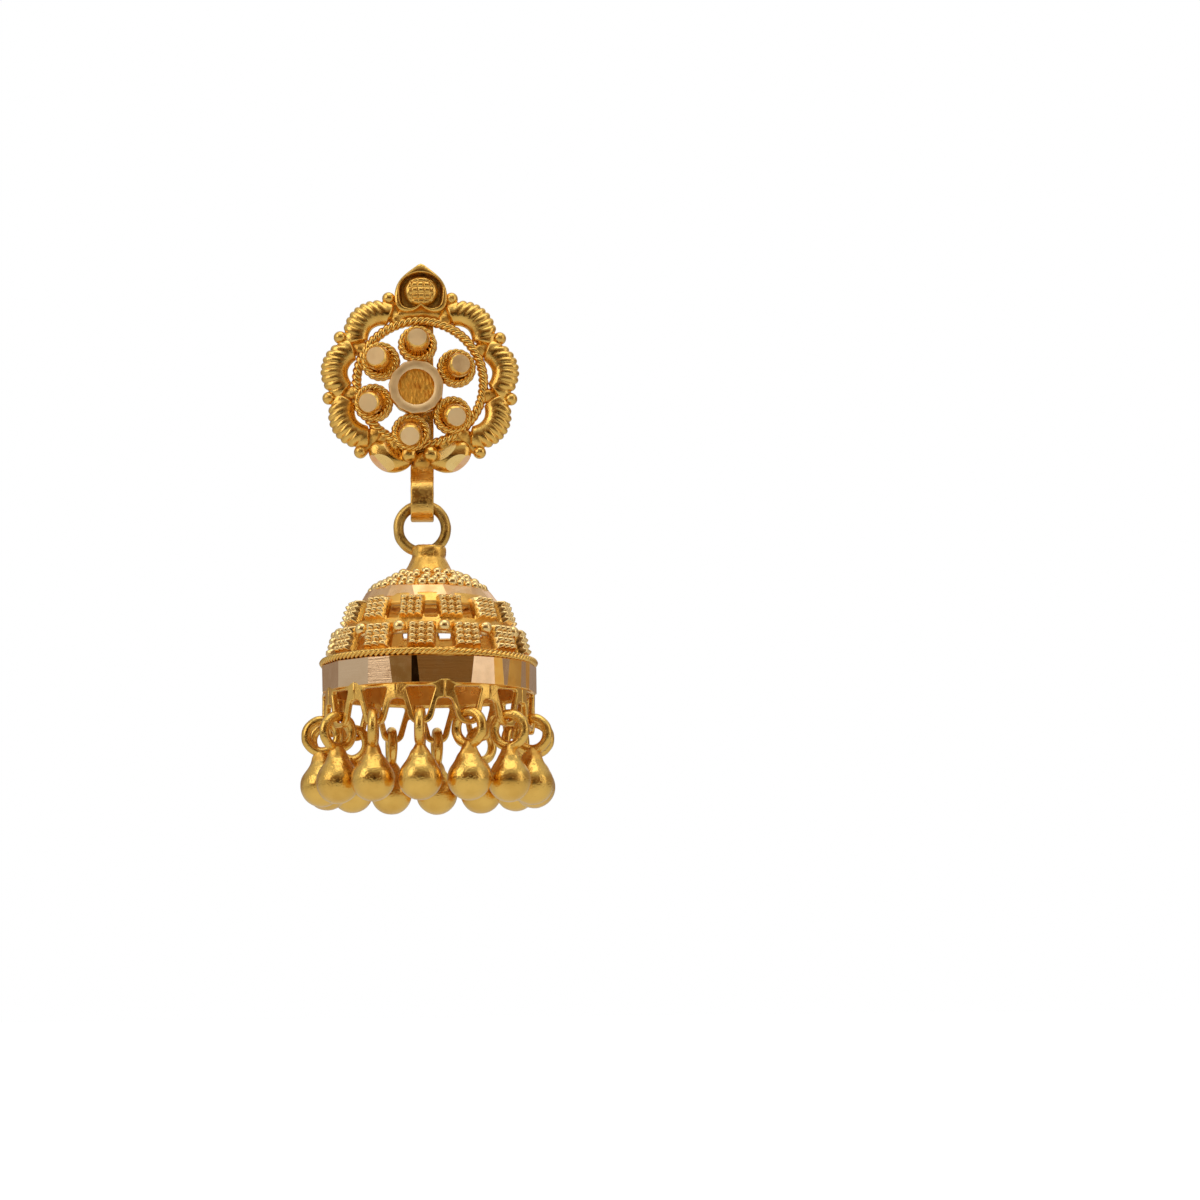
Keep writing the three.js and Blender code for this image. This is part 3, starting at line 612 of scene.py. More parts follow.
def uneven(angle, radius, edges):
    """The radius of a rounded polygon with corners at these angles in degrees."""
    corners = sorted(edges) + [min(edges) + 360]
    degrees = (math.degrees(angle) - corners[0]) % 360 + corners[0]
    for low, high in zip(corners, corners[1:]):
        if low <= degrees <= high:
            half = math.radians(high - low) / 2
            return radius * math.cos(half) / math.cos(math.radians(degrees - low) - half)
    return radius


def boss_side(rows, first=0):
    """Rings of the boss from (radius, depth, unevenness) rows."""
    columns = 156

    def at(i, j):
        angle = 2 * math.pi * j / columns
        radius, depth, share = rows[i]
        worn = uneven(angle, radius, BOSS_EDGES)
        return polar(radius + (worn - radius) * share, angle, depth)

    return grid(len(rows), columns, at, False, True)


boss_place = ROSETTE @ Matrix.Translation((BOSS_X, BOSS_Z, 0))
boss = Work()
boss.add(
    boss_side([(0.0, 0.4, 0), (1.2, 0.4, 0), (1.5, 0.5, 0), (2.05, 1.05, 0.5), (2.12, 1.2, 1), (2.12, 1.93, 1), (2.08, 1.98, 1)]),
    boss_place,
)
boss.add(boss_side([(2.08, 1.98, 1), (2.04, BOSS_FRONT, 1), (1.42, BOSS_FRONT, 0.25), (1.4, 1.98, 0.25)]), boss_place, 1)
boss.add(boss_side([(1.4, 1.98, 0.25), (1.38, BOSS_FLOOR, 0.25)]), boss_place)


def scored_floor():
    """The sunken floor, with fine upright grooves scraped across it."""
    rows, columns = 60, 130

    def at(i, j):
        point = polar(1.39 * i / (rows - 1), 2 * math.pi * j / columns, BOSS_FLOOR)
        line = point.x * 0.96 + point.y * 0.25 + 0.1 * noise.noise(point * 1.6)
        point.z += 0.06 * abs(math.sin(line * 11)) + 0.09 * noise.noise(Vector((point.x * 6, point.y * 2, 0)))
        return point

    return grid(rows, columns, at, False, True)


boss.add(scored_floor(), boss_place, 2)
floor_gold = gold(
    "floor_gold", (0.88, 0.45, 0.07, 1), (0.5, 0.18, 0.01, 1),
    tone={"Groove Shade": 0.9, "Cloud": 0.5, "Cloud Scale": 1600.0},
    surface={"Smooth": 0.38, "Rough": 0.55, "Waves": 0.6, "Pits": 0.9}, bump=0.03,
)
ring_gold = gold(
    "ring_gold", (1.0, 0.72, 0.37, 1), (0.95, 0.62, 0.28, 1), tone={"Groove Shade": 0.0, "Cloud": 0.3},
    surface={"Smooth": 0.42, "Rough": 0.56, "Waves": 0.1, "Pits": 0.35}, bump=0.01,
)
boss.piece("rosette_boss", [cast_gold, ring_gold, floor_gold], *STUD)

# Cups of the rosette
# Six coils of twisted wire soldered between the boss and the ring. In each stands a gold pip
# whose end is cut to one flat facet that leans outwards, painted pale as a painted highlight.
CUP_ANGLES = (88.5, 28, -37, -97, -161, 142)
CUP_LEAN = ((0, 0.22), (0.37, 0.0), (0.33, -0.45), (-0.05, -0.62), (-0.40, -0.34), (-0.36, 0.06))
CUP_DISTANCE = 3.45
COIL_WIRE = 0.54
COIL_PITCH = 1.25
COIL_TURNS = ((1.26, 1.08), (1.2, 1.5))
PIP_PIVOT = 1.33
PIP_TIP = 2.88
PIP_FACET = 0.7
PIP_PROFILE = (
    (0.0, 0.5), (1.12, 0.5), (1.12, 1.25), (1.0, 1.45), (0.9, 1.65), (0.89, 1.9), (0.94, 2.15), (0.94, 2.35), (0.9, 2.55),
    (0.83, 2.72), (0.76, 2.82), (PIP_FACET, PIP_TIP),
)


def turned(profile, columns):
    """A body turned round Z from (radius, height) rows, from its foot upwards."""
    def at(i, j):
        return polar(profile[i][0], 2 * math.pi * j / columns, profile[i][1])

    points, faces = grid(len(profile), columns, at, False, True)
    return points, faces


cups = Work()
for angle, (aside, upward) in zip(CUP_ANGLES, CUP_LEAN):
    turn = Matrix.Rotation(math.radians(angle), 4, "Z")
    place = boss_place @ turn @ Matrix.Translation((CUP_DISTANCE, 0, 0))
    for radius, depth in COIL_TURNS:
        wobble = Matrix.Rotation(0.06 * math.sin(angle + depth), 4, "Y")
        cups.add(rope_ring(radius, COIL_WIRE, COIL_PITCH), place @ Matrix.Translation((0, 0, depth)) @ wobble)
    pivot = Matrix.Translation((0, 0, PIP_PIVOT))
    reach = Vector((aside, upward, PIP_TIP - PIP_PIVOT))
    lean = Vector((0, 0, 1)).rotation_difference(reach).to_matrix().to_4x4()
    leaning = place @ turn.inverted() @ pivot @ lean @ pivot.inverted()
    cups.add(lumpy(turned(PIP_PROFILE, 48), 0.02, 1.7), leaning, 2)
    facet = [polar(PIP_FACET, 2 * math.pi * i / 48, PIP_TIP) for i in range(48)]
    # Painted highlight: the facet gets the pale ring finish.
    cups.add((facet, [list(range(48))]), leaning, 1, True)
cups.piece("rosette_cups", [wire_gold, ring_gold, cast_gold], *STUD)

# Strap of the rosette
# One flat gold band: it runs down the back of the rosette, and its lower end is folded
# forwards into a loop round the hanging ring and soldered to itself.
STRAP_WIDTH = 1.74
STRAP_THICKNESS = 0.45
LOOP_INNER = 0.85
LOOP_Z = -9.6
LOOP_Y = -(LOOP_INNER + STRAP_THICKNESS)
STRAP_TOP = 4.84


def band(path, width, thickness, rounding=0.12):
    """A flat band along a path in the YZ plane, with rounded edges."""
    half, thin = width / 2, thickness / 2
    section = []
    for x, z, start in ((half, thin, 0), (-half, thin, 90), (-half, -thin, 180), (half, -thin, 270)):
        for step in range(4):
            a = math.radians(start + 30 * step)
            inner_x = math.copysign(half - rounding, x)
            inner_z = math.copysign(thin - rounding, z)
            section.append((inner_x + rounding * math.cos(a), inner_z + rounding * math.sin(a)))
    count = len(path)

    def at(i, j):
        along = (path[min(i + 1, count - 1)] - path[max(i - 1, 0)]).normalized()
        out = Vector((0, -along.z, along.y))
        x, z = section[j]
        return path[i] + Vector((x, 0, 0)) - out * z

    points, faces = grid(count, len(section), at, False, True)
    side = len(section)
    faces += [list(range(side))[::-1], [(count - 1) * side + j for j in range(side)]]
    return points, faces


strap_path = []
for i in range(56):
    height = STRAP_TOP + (LOOP_Z - STRAP_TOP) * i / 56
    strap_path.append(Vector((0, -STRAP_THICKNESS / 2, height)))
middle = LOOP_INNER + STRAP_THICKNESS / 2
for i in range(37):
    a = math.radians(-180 * i / 36)
    strap_path.append(Vector((0, LOOP_Y + middle * math.cos(a), LOOP_Z + middle * math.sin(a))))
for i in range(1, 33):
    back = smooth_step(0.3, 0.98, i / 32) * 1.62
    strap_path.append(Vector((0, LOOP_Y - middle + back, LOOP_Z + 3.15 * i / 32)))
strap = Work().add(lumpy(band(strap_path, STRAP_WIDTH, STRAP_THICKNESS), 0.035, 1.3))
solder = Matrix.Translation((0, -0.75, -6.1)) @ Matrix.Diagonal((0.72, 0.5, 0.75, 1))
strap.add(lumpy(ball(1.0, 18, 24), 0.08, 1.5), solder, 1)
band_gold = gold(
    "band_gold", (0.88, 0.53, 0.13, 1), (0.6, 0.24, 0.02, 1), tone={"Groove Shade": 0.3, "Cloud": 0.45},
    surface={"Smooth": 0.2, "Rough": 0.36, "Waves": 1.2, "Wave Scale": 700.0}, bump=0.05,
)
strap.piece("rosette_strap", [band_gold, solder_gold], *STUD)

# Ear post and screw back
# A plain gold post on a round foot, soldered behind the strap, and the small screw that
# closes on it behind the ear. Both are hidden from the front.
POST_RADIUS = 0.45
POST_END = 8.8
SCREW_FROM, SCREW_TO = 5.0, 7.6
SCREW_RADIUS = 1.6
BEHIND = Matrix(((1, 0, 0, 0), (0, 0, 1, 0), (0, -1, 0, 0), (0, 0, 0, 1)))
post_profile = [(0, 0.1), (0.95, 0.1), (1.0, 0.16), (0.98, 0.36), (0.7, 0.45), (0.5, 0.56)]
thread_steps = 96
for i in range(thread_steps):
    share = i / (thread_steps - 1)
    ridge = 0.035 * abs(math.sin(share * math.pi * 24)) * smooth_step(0.25, 0.3, share)
    post_profile.append((POST_RADIUS - ridge, 0.6 + share * (POST_END - 0.9)))
post_profile += [(0.38, POST_END - 0.14), (0.25, POST_END - 0.02), (0, POST_END)]
plain_gold = gold(
    "plain_gold", (1.0, 0.64, 0.2, 1), (0.85, 0.42, 0.08, 1), tone={"Groove Shade": 0.8, "Cloud": 0.3},
    surface={"Smooth": 0.22, "Rough": 0.36, "Waves": 0.5},
)
Work().add(turned(post_profile, 32), BEHIND).piece("ear_post_turned", [plain_gold], "stud", "ear_post", "gold_plain")


def knurled_screw():
    bore = POST_RADIUS + 0.1
    rows = [
        (bore, SCREW_FROM, 0), (bore, SCREW_FROM, 0), (SCREW_RADIUS - 0.12, SCREW_FROM, 0),
        (SCREW_RADIUS, SCREW_FROM + 0.12, 0.5), (SCREW_RADIUS, SCREW_FROM + 0.25, 1),
        (SCREW_RADIUS, SCREW_FROM + 1.05, 1), (SCREW_RADIUS - 0.03, SCREW_FROM + 1.3, 0),
        (SCREW_RADIUS * 0.86, SCREW_FROM + 1.7, 0), (SCREW_RADIUS * 0.66, SCREW_TO - 0.15, 0),
        (SCREW_RADIUS * 0.58, SCREW_TO, 0), (bore, SCREW_TO, 0), (bore, SCREW_FROM, 0),
    ]
    columns = 112

    def at(i, j):
        radius, height, knurl = rows[i]
        groove = 0.07 * knurl * (0.5 + 0.5 * math.cos(28 * 2 * math.pi * j / columns))
        return polar(radius - groove, 2 * math.pi * j / columns, height)

    return grid(len(rows) - 1, columns, lambda i, j: at(i + 1, j), True, True)


Work().add(knurled_screw(), BEHIND).piece("screw_back_turned", [plain_gold], "stud", "screw_back", "gold_plain")

# Hanging ring of the bell
# A round gold wire ring through the strap's loop, worn, and painted darker on its inside as
# shade, with its foot soldered into the neck of the bell.
BELL_X, BELL_Y = 0.5, LOOP_Y
HANG_WIRE = 0.395
HANG_RADIUS = 1.795
HANG_Z = LOOP_Z - HANG_RADIUS
BELL = Matrix.Translation((BELL_X, BELL_Y, 0))
DROP = ("drop", "dome", "gold_bell")
steps = 72
path = [polar(HANG_RADIUS, 2 * math.pi * i / steps) for i in range(steps)]
worn_gold = gold(
    "worn_gold", (0.80, 0.50, 0.13, 1), (0.35, 0.16, 0.02, 1), tone={"Groove Shade": 0.2, "Cloud": 0.7, "Cloud Scale": 700.0},
    surface={"Smooth": 0.2, "Rough": 0.4, "Waves": 1.1, "Wave Scale": 900.0}, bump=0.04,
)
ring_points, ring_faces = lumpy(wire(path, HANG_WIRE, 24, True, path), 0.03, 1.4)
# Painted shade: the inner half of the wire gets the dark shade finish.
shaded_inner_side = [abs(i % 24 - 11.5) < 5.5 for i in range(len(ring_faces))]
ring_place = Matrix.Translation((0, BELL_Y, HANG_Z)) @ FACE_UP
hang_ring = Work()
for finish in (0, 1):
    chosen = [face for face, inner in zip(ring_faces, shaded_inner_side) if inner == bool(finish)]
    hang_ring.add((ring_points, chosen), ring_place, finish)
hang_ring.piece("hanging_ring", [worn_gold, painted_shade_gold], *DROP)

# Neck and grained cap of the bell
# A turned gold collar that holds the ring, spreading into a shallow cap that is covered in
# rows of round gold grains, each soldered down.
NECK_TOP = HANG_Z - HANG_RADIUS + HANG_WIRE
CAP_TOP = NECK_TOP - 1.85
BAND_TOP = CAP_TOP - 1.25
CAP_START, CAP_FOOT = CAP_TOP - 0.35, BAND_TOP - 0.45
neck_profile = [
    (4.4, CAP_FOOT - 0.2), (4.3, CAP_FOOT), (2.0, CAP_START), (1.84, CAP_START + 0.2), (1.56, CAP_TOP + 0.4),
    (1.34, CAP_TOP + 0.86), (1.27, CAP_TOP + 1.0), (1.3, CAP_TOP + 1.2), (1.32, CAP_TOP + 1.5),
    (1.3, CAP_TOP + 1.72), (1.18, CAP_TOP + 1.84), (0.9, CAP_TOP + 1.9), (0, CAP_TOP + 1.93),
]
GRAIN_RADIUS = 0.36
GRAIN_ROWS = ((2.22, 19), (2.9, 25), (3.58, 30), (4.22, 35))
neck = Work().add(lumpy(lumpy(turned(neck_profile, 64), 0.06, 1.6), 0.07, 3.2), BELL)
for row, (radius, count) in enumerate(GRAIN_ROWS):
    for i in range(count):
        shake = noise.noise_vector(Vector((i * 1.37 + 0.5, row * 2.11 + 0.3, 1.7)))
        a = 2 * math.pi * (i + 0.5 * (row % 2)) / count + 0.3 * shake.y / radius
        reach = radius + 0.25 * shake.x
        height = CAP_START - (reach - 1.9) / (4.35 - 1.9) * (CAP_START - CAP_FOOT) + 0.1 + 0.16 * shake.z
        grain = Matrix.Diagonal((1 + 0.3 * shake.z, 1 + 0.3 * shake.x, 1 + 0.25 * shake.y, 1))
        neck.add(ball(GRAIN_RADIUS, 9, 12), BELL @ Matrix.Translation(polar(reach, a, height)) @ grain, 1)
grain_gold = gold(
    "grain_gold", (1.0, 0.71, 0.29, 1), (0.66, 0.28, 0.03, 1), tone={"Groove Shade": 1.2, "Cloud": 0.15},
    surface={"Smooth": 0.11, "Rough": 0.22, "Waves": 0.5},
)
neck.piece("bell_neck_and_cap", [solder_gold, grain_gold], *DROP)

# Upper band of the bell
# A sloping gold collar below the cap, diamond cut into flat pale facets of uneven width.
UPPER_TOP_RADIUS, UPPER_FOOT_RADIUS = 4.66, 5.26
UPPER_TOP, UPPER_FOOT = BAND_TOP - 0.4, BAND_TOP - 1.36
UPPER_EDGES = (-64, -36, -14, 14, 40, 58, 84, 112, 140, 166, 192, 220, 246, 270)


def facet_ring(edges, radius_top, radius_foot, top, foot, tilt, seed):
    """Corners at the top and foot of a ring of flat facets, whose planes meet at these angles."""
    planes = []
    for i, low in enumerate(edges):
        high = edges[(i + 1) % len(edges)] + (360 if i == len(edges) - 1 else 0)
        half = math.radians(high - low) / 2
        lean = tilt * noise.noise(Vector((i * 2.3, seed, 0.5))) * min(1.0, (high - low) / 24)
        planes.append((math.radians((low + high) / 2 - 90), math.cos(half), lean))
    rows = []
    for radius, height, sign in ((radius_foot, foot, -1), (radius_top, top, 1)):
        corners = []
        for i in range(len(planes)):
            (a, cos_a, lean_a), (b, cos_b, lean_b) = planes[i - 1], planes[i]
            da, db = radius * cos_a + sign * lean_a, radius * cos_b + sign * lean_b
            across = math.sin(b - a)
            x = (da * math.sin(b) - db * math.sin(a)) / across
            y = (db * math.cos(a) - da * math.cos(b)) / across
            corners.append(Vector((x, y, height)))
        rows.append(corners)
    return rows


def cut_band(edges, rows, inner, soft):
    """A band with flat facets outside and a round wall inside."""
    foot, top = rows
    count = len(edges)
    def inward(point, by, rise):
        flat = Vector((point.x, point.y, 0))
        return point - flat.normalized() * by + Vector((0, 0, rise))
    rings = [
        [inward(p, p.xy.length - inner, 0) for p in foot], [inward(p, soft, 0) for p in foot],
        [inward(p, 0, soft) for p in foot], [inward(p, 0, -soft) for p in top],
        [inward(p, soft, 0) for p in top], [inward(p, p.xy.length - inner, 0) for p in top],
    ]
    return grid(6, count, lambda i, j: rings[i][j], True, True)


upper_rows = facet_ring(UPPER_EDGES, UPPER_TOP_RADIUS, UPPER_FOOT_RADIUS, UPPER_TOP, UPPER_FOOT, 0.12, 1.0)
peach_gold = gold(
    "peach_gold", (0.90, 0.57, 0.28, 1), (0.85, 0.42, 0.12, 1), tone={"Groove Shade": 0.0, "Cloud": 0.6},
    surface={"Smooth": 0.26, "Rough": 0.42, "Waves": 0.4, "Pits": 0.3}, bump=0.015,
)
Work().add(lumpy(cut_band(UPPER_EDGES, upper_rows, 4.1, 0.05), 0.16, 0.45), BELL, 0, True).piece(
    "bell_upper_band", [peach_gold], *DROP
)

# Wall of the bell
# Thin gold sheet, domed and pierced with a window between each two squares of both rows.
# Satin and deep in colour, because light bounces inside it.
REPEATS = 13
PITCH = 360 / REPEATS
FIRST_ANGLE = -4.5
ROW_1_FIRST = FIRST_ANGLE + 6 + PITCH / 2
ROW_HEIGHT = 2.2
ROW_1_TOP = BAND_TOP - 1.1
ROW_2_TOP = ROW_1_TOP - ROW_HEIGHT
SHOULDER = ROW_2_TOP - ROW_HEIGHT
RIM_TOP = SHOULDER - 0.6
WALL = 0.42
WINDOWS = (
    (ROW_1_FIRST, ROW_1_TOP - 0.75, ROW_1_TOP - 1.95, 0.52, 5.9),
    (FIRST_ANGLE, ROW_2_TOP - 0.85, ROW_2_TOP - 2.12, 0.74, 6.9),
)
wall_rows = [(4.0, BAND_TOP - 0.4), (4.4, ROW_1_TOP + 0.25), (5.0, ROW_1_TOP)]
for start, end, first, last in ((5.0, 6.3, ROW_1_TOP, ROW_2_TOP), (6.3, 7.25, ROW_2_TOP, SHOULDER)):
    for i in range(1, 21):
        t = i / 20
        swell = 0.06 * math.sin(math.pi * t)
        wall_rows.append((start + (end - start) * t + swell, first + (last - first) * t))
wall_rows += [(7.5, SHOULDER - 0.25), (7.72, SHOULDER - 0.45), (7.8, RIM_TOP - 0.05)]
columns = REPEATS * 28


def in_window(angle, height):
    for first, top, foot, half, radius in WINDOWS:
        offset = (math.degrees(angle) - first) % PITCH - PITCH / 2
        across = abs(math.radians(offset) * radius)
        corner = max(0.0, 0.2 - min(top - height, height - foot))
        if foot < height < top and across < half - corner * 0.6:
            return True
    return False


wall_points, wall_faces = grid(
    len(wall_rows), columns,
    lambda i, j: polar(wall_rows[i][0], 2 * math.pi * (j / columns) - math.pi / 2, wall_rows[i][1]), False, True,
)
kept_faces = []
for face in wall_faces:
    middle = sum((wall_points[i] for i in face), Vector()) / 4
    if not in_window(math.atan2(middle.y, middle.x) + math.pi / 2, middle.z):
        kept_faces.append(face[::-1])
amber_gold = gold(
    "amber_gold", (0.93, 0.53, 0.12, 1), (0.55, 0.2, 0.01, 1), tone={"Groove Shade": 0.4, "Cloud": 0.4},
    surface={"Smooth": 0.22, "Rough": 0.38, "Waves": 1.0}, bump=0.03,
)
wall = Work().add((wall_points, kept_faces), BELL).piece("bell_wall", [amber_gold], *DROP)
thick = wall.modifiers.new("sheet", "SOLIDIFY")
thick.thickness = WALL * MM
thick.offset = -1

# Raised squares and balls of the bell
# Two rows of thirteen small gold boxes, each with rows of grains stamped on its face, and a
# gold ball at the top of each gap of the lower row.
SQUARE = 1.84
SQUARE_RISE = 0.56
SQUARE_AT = 0.56
BALL_AT = 0.3
GRAINS_ACROSS, GRAINS_UP = 3, 4
BALL_RADIUS = 0.5


def grained_square(seed):
    """A box with stamped grains on its face, which looks along +Z."""
    size = 40

    def at(i, j):
        u, v = j / (size - 1) * 2 - 1, i / (size - 1) * 2 - 1
        edge = max(abs(u), abs(v))
        inner = 0.9
        if edge > inner:
            fall = (edge - inner) / (1 - inner)
            u, v = u * inner / edge, v * inner / edge
            depth = -fall * (SQUARE_RISE + 0.31)
            spread = 1 + 0.1 * min(1.0, fall * 3)
        else:
            depth, spread = 0.0, 1.0
        across = abs(math.sin(math.pi * (u / inner * 0.5 + 0.5) * GRAINS_ACROSS))
        up = abs(math.sin(math.pi * (v / inner * 0.5 + 0.5) * GRAINS_UP))
        grain = (across * up) ** 0.5
        worn = 0.05 * noise.noise(Vector((u * 2, v * 2, seed)))
        relief = (0.38 * grain - 0.31 + worn) * (1.0 if edge <= inner else 0.0)
        if edge > inner:
            relief = -0.31 * (1 - min(1.0, (edge - inner) * 8))
        return Vector((u * SQUARE / 2 * spread, v * SQUARE / 2 * spread, SQUARE_RISE + 0.04 + depth + relief))

    return grid(size, size, at)


def on_wall(top_radius, foot_radius, top, share, rise, degrees, upright=0.0):
    """Where a block sits on one row of the wall, its face looking outwards, or more upright."""
    lean = math.atan2(foot_radius - top_radius, ROW_HEIGHT)
    radius = top_radius + (foot_radius - top_radius) * share
    place = BELL @ Matrix.Rotation(math.radians(degrees), 4, "Z")
    place = place @ Matrix.Translation((0, -radius, top - share * ROW_HEIGHT)) @ Matrix.Rotation(-lean, 4, "X")
    return place @ Matrix.Translation((0, -rise, 0)) @ Matrix.Rotation(lean * upright, 4, "X") @ FACE_UP


squares, balls = Work(), Work()
rows = ((5.1, 6.3, ROW_1_TOP, ROW_1_FIRST, False), (6.3, 7.25, ROW_2_TOP, FIRST_ANGLE, True))
for top_radius, foot_radius, top, first, has_balls in rows:
    for i in range(REPEATS):
        angle = first + i * PITCH
        place = on_wall(top_radius, foot_radius, top, SQUARE_AT, 0.05, angle, 0.35)
        twist = Matrix.Rotation(0.05 * noise.noise(Vector((i * 3.1, top, 0))), 4, "Z")
        grown = Matrix.Diagonal((1.15, 1.12, 1, 1)) if has_balls else Matrix.Identity(4)
        squares.add(grained_square(i + top), place @ twist @ grown)
        if has_balls:
            seat = on_wall(top_radius, foot_radius, top, BALL_AT, BALL_RADIUS * 0.55, angle + PITCH / 2)
            balls.add(ball(BALL_RADIUS, 16, 22), seat)
squares.piece("bell_squares", [grain_gold], *DROP)
balls.piece("bell_balls", [grain_gold], *DROP)

# Twisted wire and rim band of the bell
# A rope of two gold strands lies on top of the rim. The rim is a tall gold band whose outside
# is diamond cut into flat mirror facets of uneven width, whose tones, from pale to near black,
# are painted reflections. Inside it is plain.
RIM_RADIUS = 8.1
RIM_INNER = 7.42
RIM_FOOT = RIM_TOP - 2.05
RIM_WIRE = 0.58
RIM_EDGES = (
    -33, -20, -9, -5.5, 23, 36, 42, 46, 51, 57, 62, 67, 90, 114, 138, 162, 186, 210, 234, 258, 282, 305,
)
# Painted reflections: the finish of each outer facet, from pale to near black, stands in for what it reflects.
RIM_PAINTED_REFLECTIONS = (0, 1, 5, 1, 0, 3, 0, 3, 3, 0, 3, 0, 1, 0, 2, 1, 3, 0, 2, 1, 0, 0)
rim_wire = Work().add(
    rope_ring(RIM_RADIUS - 0.18, RIM_WIRE, 1.3), BELL @ Matrix.Translation((0, 0, RIM_TOP + 0.27))
)
rim_wire.piece("bell_rim_wire", [wire_gold], *DROP)
rim_rows = facet_ring(RIM_EDGES, RIM_RADIUS - 0.02, RIM_RADIUS, RIM_TOP, RIM_FOOT, 0.09, 7.0)
olive_reflection_facet = gold(
    "olive_reflection_facet", (0.88, 0.62, 0.30, 1), (0.62, 0.50, 0.16, 1), tone={"Groove Shade": 0.0, "Cloud": 0.6, "Cloud Scale": 400.0},
    surface={"Smooth": 0.1, "Rough": 0.2, "Waves": 0.15, "Pits": 0.25, "Lines": 1.2}, bump=0.008,
)
brown_reflection_facet = gold(
    "brown_reflection_facet", (0.58, 0.38, 0.17, 1), (0.30, 0.22, 0.05, 1), tone={"Groove Shade": 0.0, "Cloud": 0.6, "Cloud Scale": 400.0},
    surface={"Smooth": 0.1, "Rough": 0.2, "Waves": 0.15, "Pits": 0.3, "Lines": 1.2}, bump=0.008,
)
amber_reflection_facet = gold(
    "amber_reflection_facet", (1.0, 0.56, 0.12, 1), (0.95, 0.38, 0.03, 1), tone={"Groove Shade": 0.0, "Cloud": 0.6},
    surface={"Smooth": 0.3, "Rough": 0.42, "Waves": 0.5, "Pits": 0.3}, bump=0.01,
)
# Near black: a painted dark reflection.
dark_reflection_facet = gold(
    "dark_reflection_facet", (0.07, 0.04, 0.015, 1), (0.03, 0.015, 0.005, 1), tone={"Groove Shade": 0.0, "Cloud": 0.6},
    surface={"Smooth": 0.12, "Rough": 0.3, "Waves": 0.5, "Pits": 0.6}, bump=0.01,
)
rim = Work()
rim_points, rim_faces = cut_band(RIM_EDGES, rim_rows, RIM_INNER, 0.05)
rim.add((rim_points, rim_faces), BELL, 4, True)
count = len(RIM_EDGES)
# Each outer facet gets its painted reflection.
for i in range(count):
    rim.finishes[2 * count + i] = RIM_PAINTED_REFLECTIONS[i]
rim.piece("bell_rim_band", [cut_gold, olive_reflection_facet, brown_reflection_facet, amber_reflection_facet, amber_gold, dark_reflection_facet], *DROP)

# Pierced skirt of the bell
# A strip of gold sheet below the rim, sawn into fourteen V-shaped loops with open arches
# between them, and bent round the bell.
SKIRT_RADIUS = 7.75
SKIRT_THICKNESS = 0.42
SKIRT_DROP = 2.95
DROPS = 14
DROP_PITCH = 360 / DROPS
half_pitch = math.pi * SKIRT_RADIUS / DROPS
SKIRT_OUTLINE = (
    (-half_pitch, 0.3, 0), (-half_pitch, -1.05, 0), (-half_pitch + 0.5, -1.12, 0.35),
    (-0.78, -SKIRT_DROP, 0.7), (0.78, -SKIRT_DROP, 0.7),
    (half_pitch - 0.5, -1.12, 0.35), (half_pitch, -1.05, 0), (half_pitch, 0.3, 0),
)
SKIRT_WINDOW = ((-1.08, -0.2, 0.3), (1.08, -0.2, 0.3), (0.4, -2.58, 0.4), (-0.4, -2.58, 0.4))


def rounded(corners):
    """An outline whose corners are rounded, from (x, y, radius) rows."""
    outline = []
    count = len(corners)
    for i, (x, y, radius) in enumerate(corners):
        here = Vector((x, y))
        before = Vector(corners[i - 1][:2])
        after = Vector(corners[(i + 1) % count][:2])
        if radius < 0.01:
            outline.append(here)
            continue
        to_before, to_after = (before - here), (after - here)
        reach = min(radius, to_before.length * 0.48, to_after.length * 0.48)
        start, end = here + to_before.normalized() * reach, here + to_after.normalized() * reach
        for step in range(9):
            t = step / 8
            outline.append(start * (1 - t) ** 2 + here * 2 * t * (1 - t) + end * t * t)
    return outline


def sawn_sheet(outlines, thickness, soft):
    """A flat sheet cut to outlines, with softened edges, as points and faces in millimetres."""
    drawing = bpy.data.curves.new("sawn_sheet", "CURVE")
    drawing.dimensions = "2D"
    drawing.fill_mode = "BOTH"
    drawing.extrude = thickness / 2 - soft
    drawing.bevel_depth = soft
    drawing.bevel_resolution = 1
    drawing.offset = -soft
    for outline in outlines:
        spline = drawing.splines.new("POLY")
        spline.points.add(len(outline) - 1)
        for point, corner in zip(spline.points, outline):
            point.co = (corner.x, corner.y, 0, 1)
        spline.use_cyclic_u = True
    drawn = bpy.data.objects.new("sawn_sheet", drawing)
    bpy.context.scene.collection.objects.link(drawn)
    bpy.context.view_layer.update()
    mesh = bpy.data.meshes.new_from_object(drawn)
    points = [v.co.copy() for v in mesh.vertices]
    faces = [list(face.vertices) for face in mesh.polygons]
    bpy.data.objects.remove(drawn)
    bpy.data.curves.remove(drawing)
    bpy.data.meshes.remove(mesh)
    return points, faces


loop_points, loop_faces = sawn_sheet([rounded(SKIRT_OUTLINE), rounded(SKIRT_WINDOW)], SKIRT_THICKNESS, 0.1)
skirt = Work()
for i in range(DROPS):
    turn = math.radians(FIRST_ANGLE + i * DROP_PITCH)
    bent = []
    for point in loop_points:
        a = turn + point.x / SKIRT_RADIUS - math.pi / 2
        bent.append(polar(SKIRT_RADIUS + point.z, a, RIM_FOOT + point.y))
    skirt.add(lumpy((bent, loop_faces), 0.05, 1.1), BELL)
skirt.piece("bell_skirt", [cast_gold], *DROP)

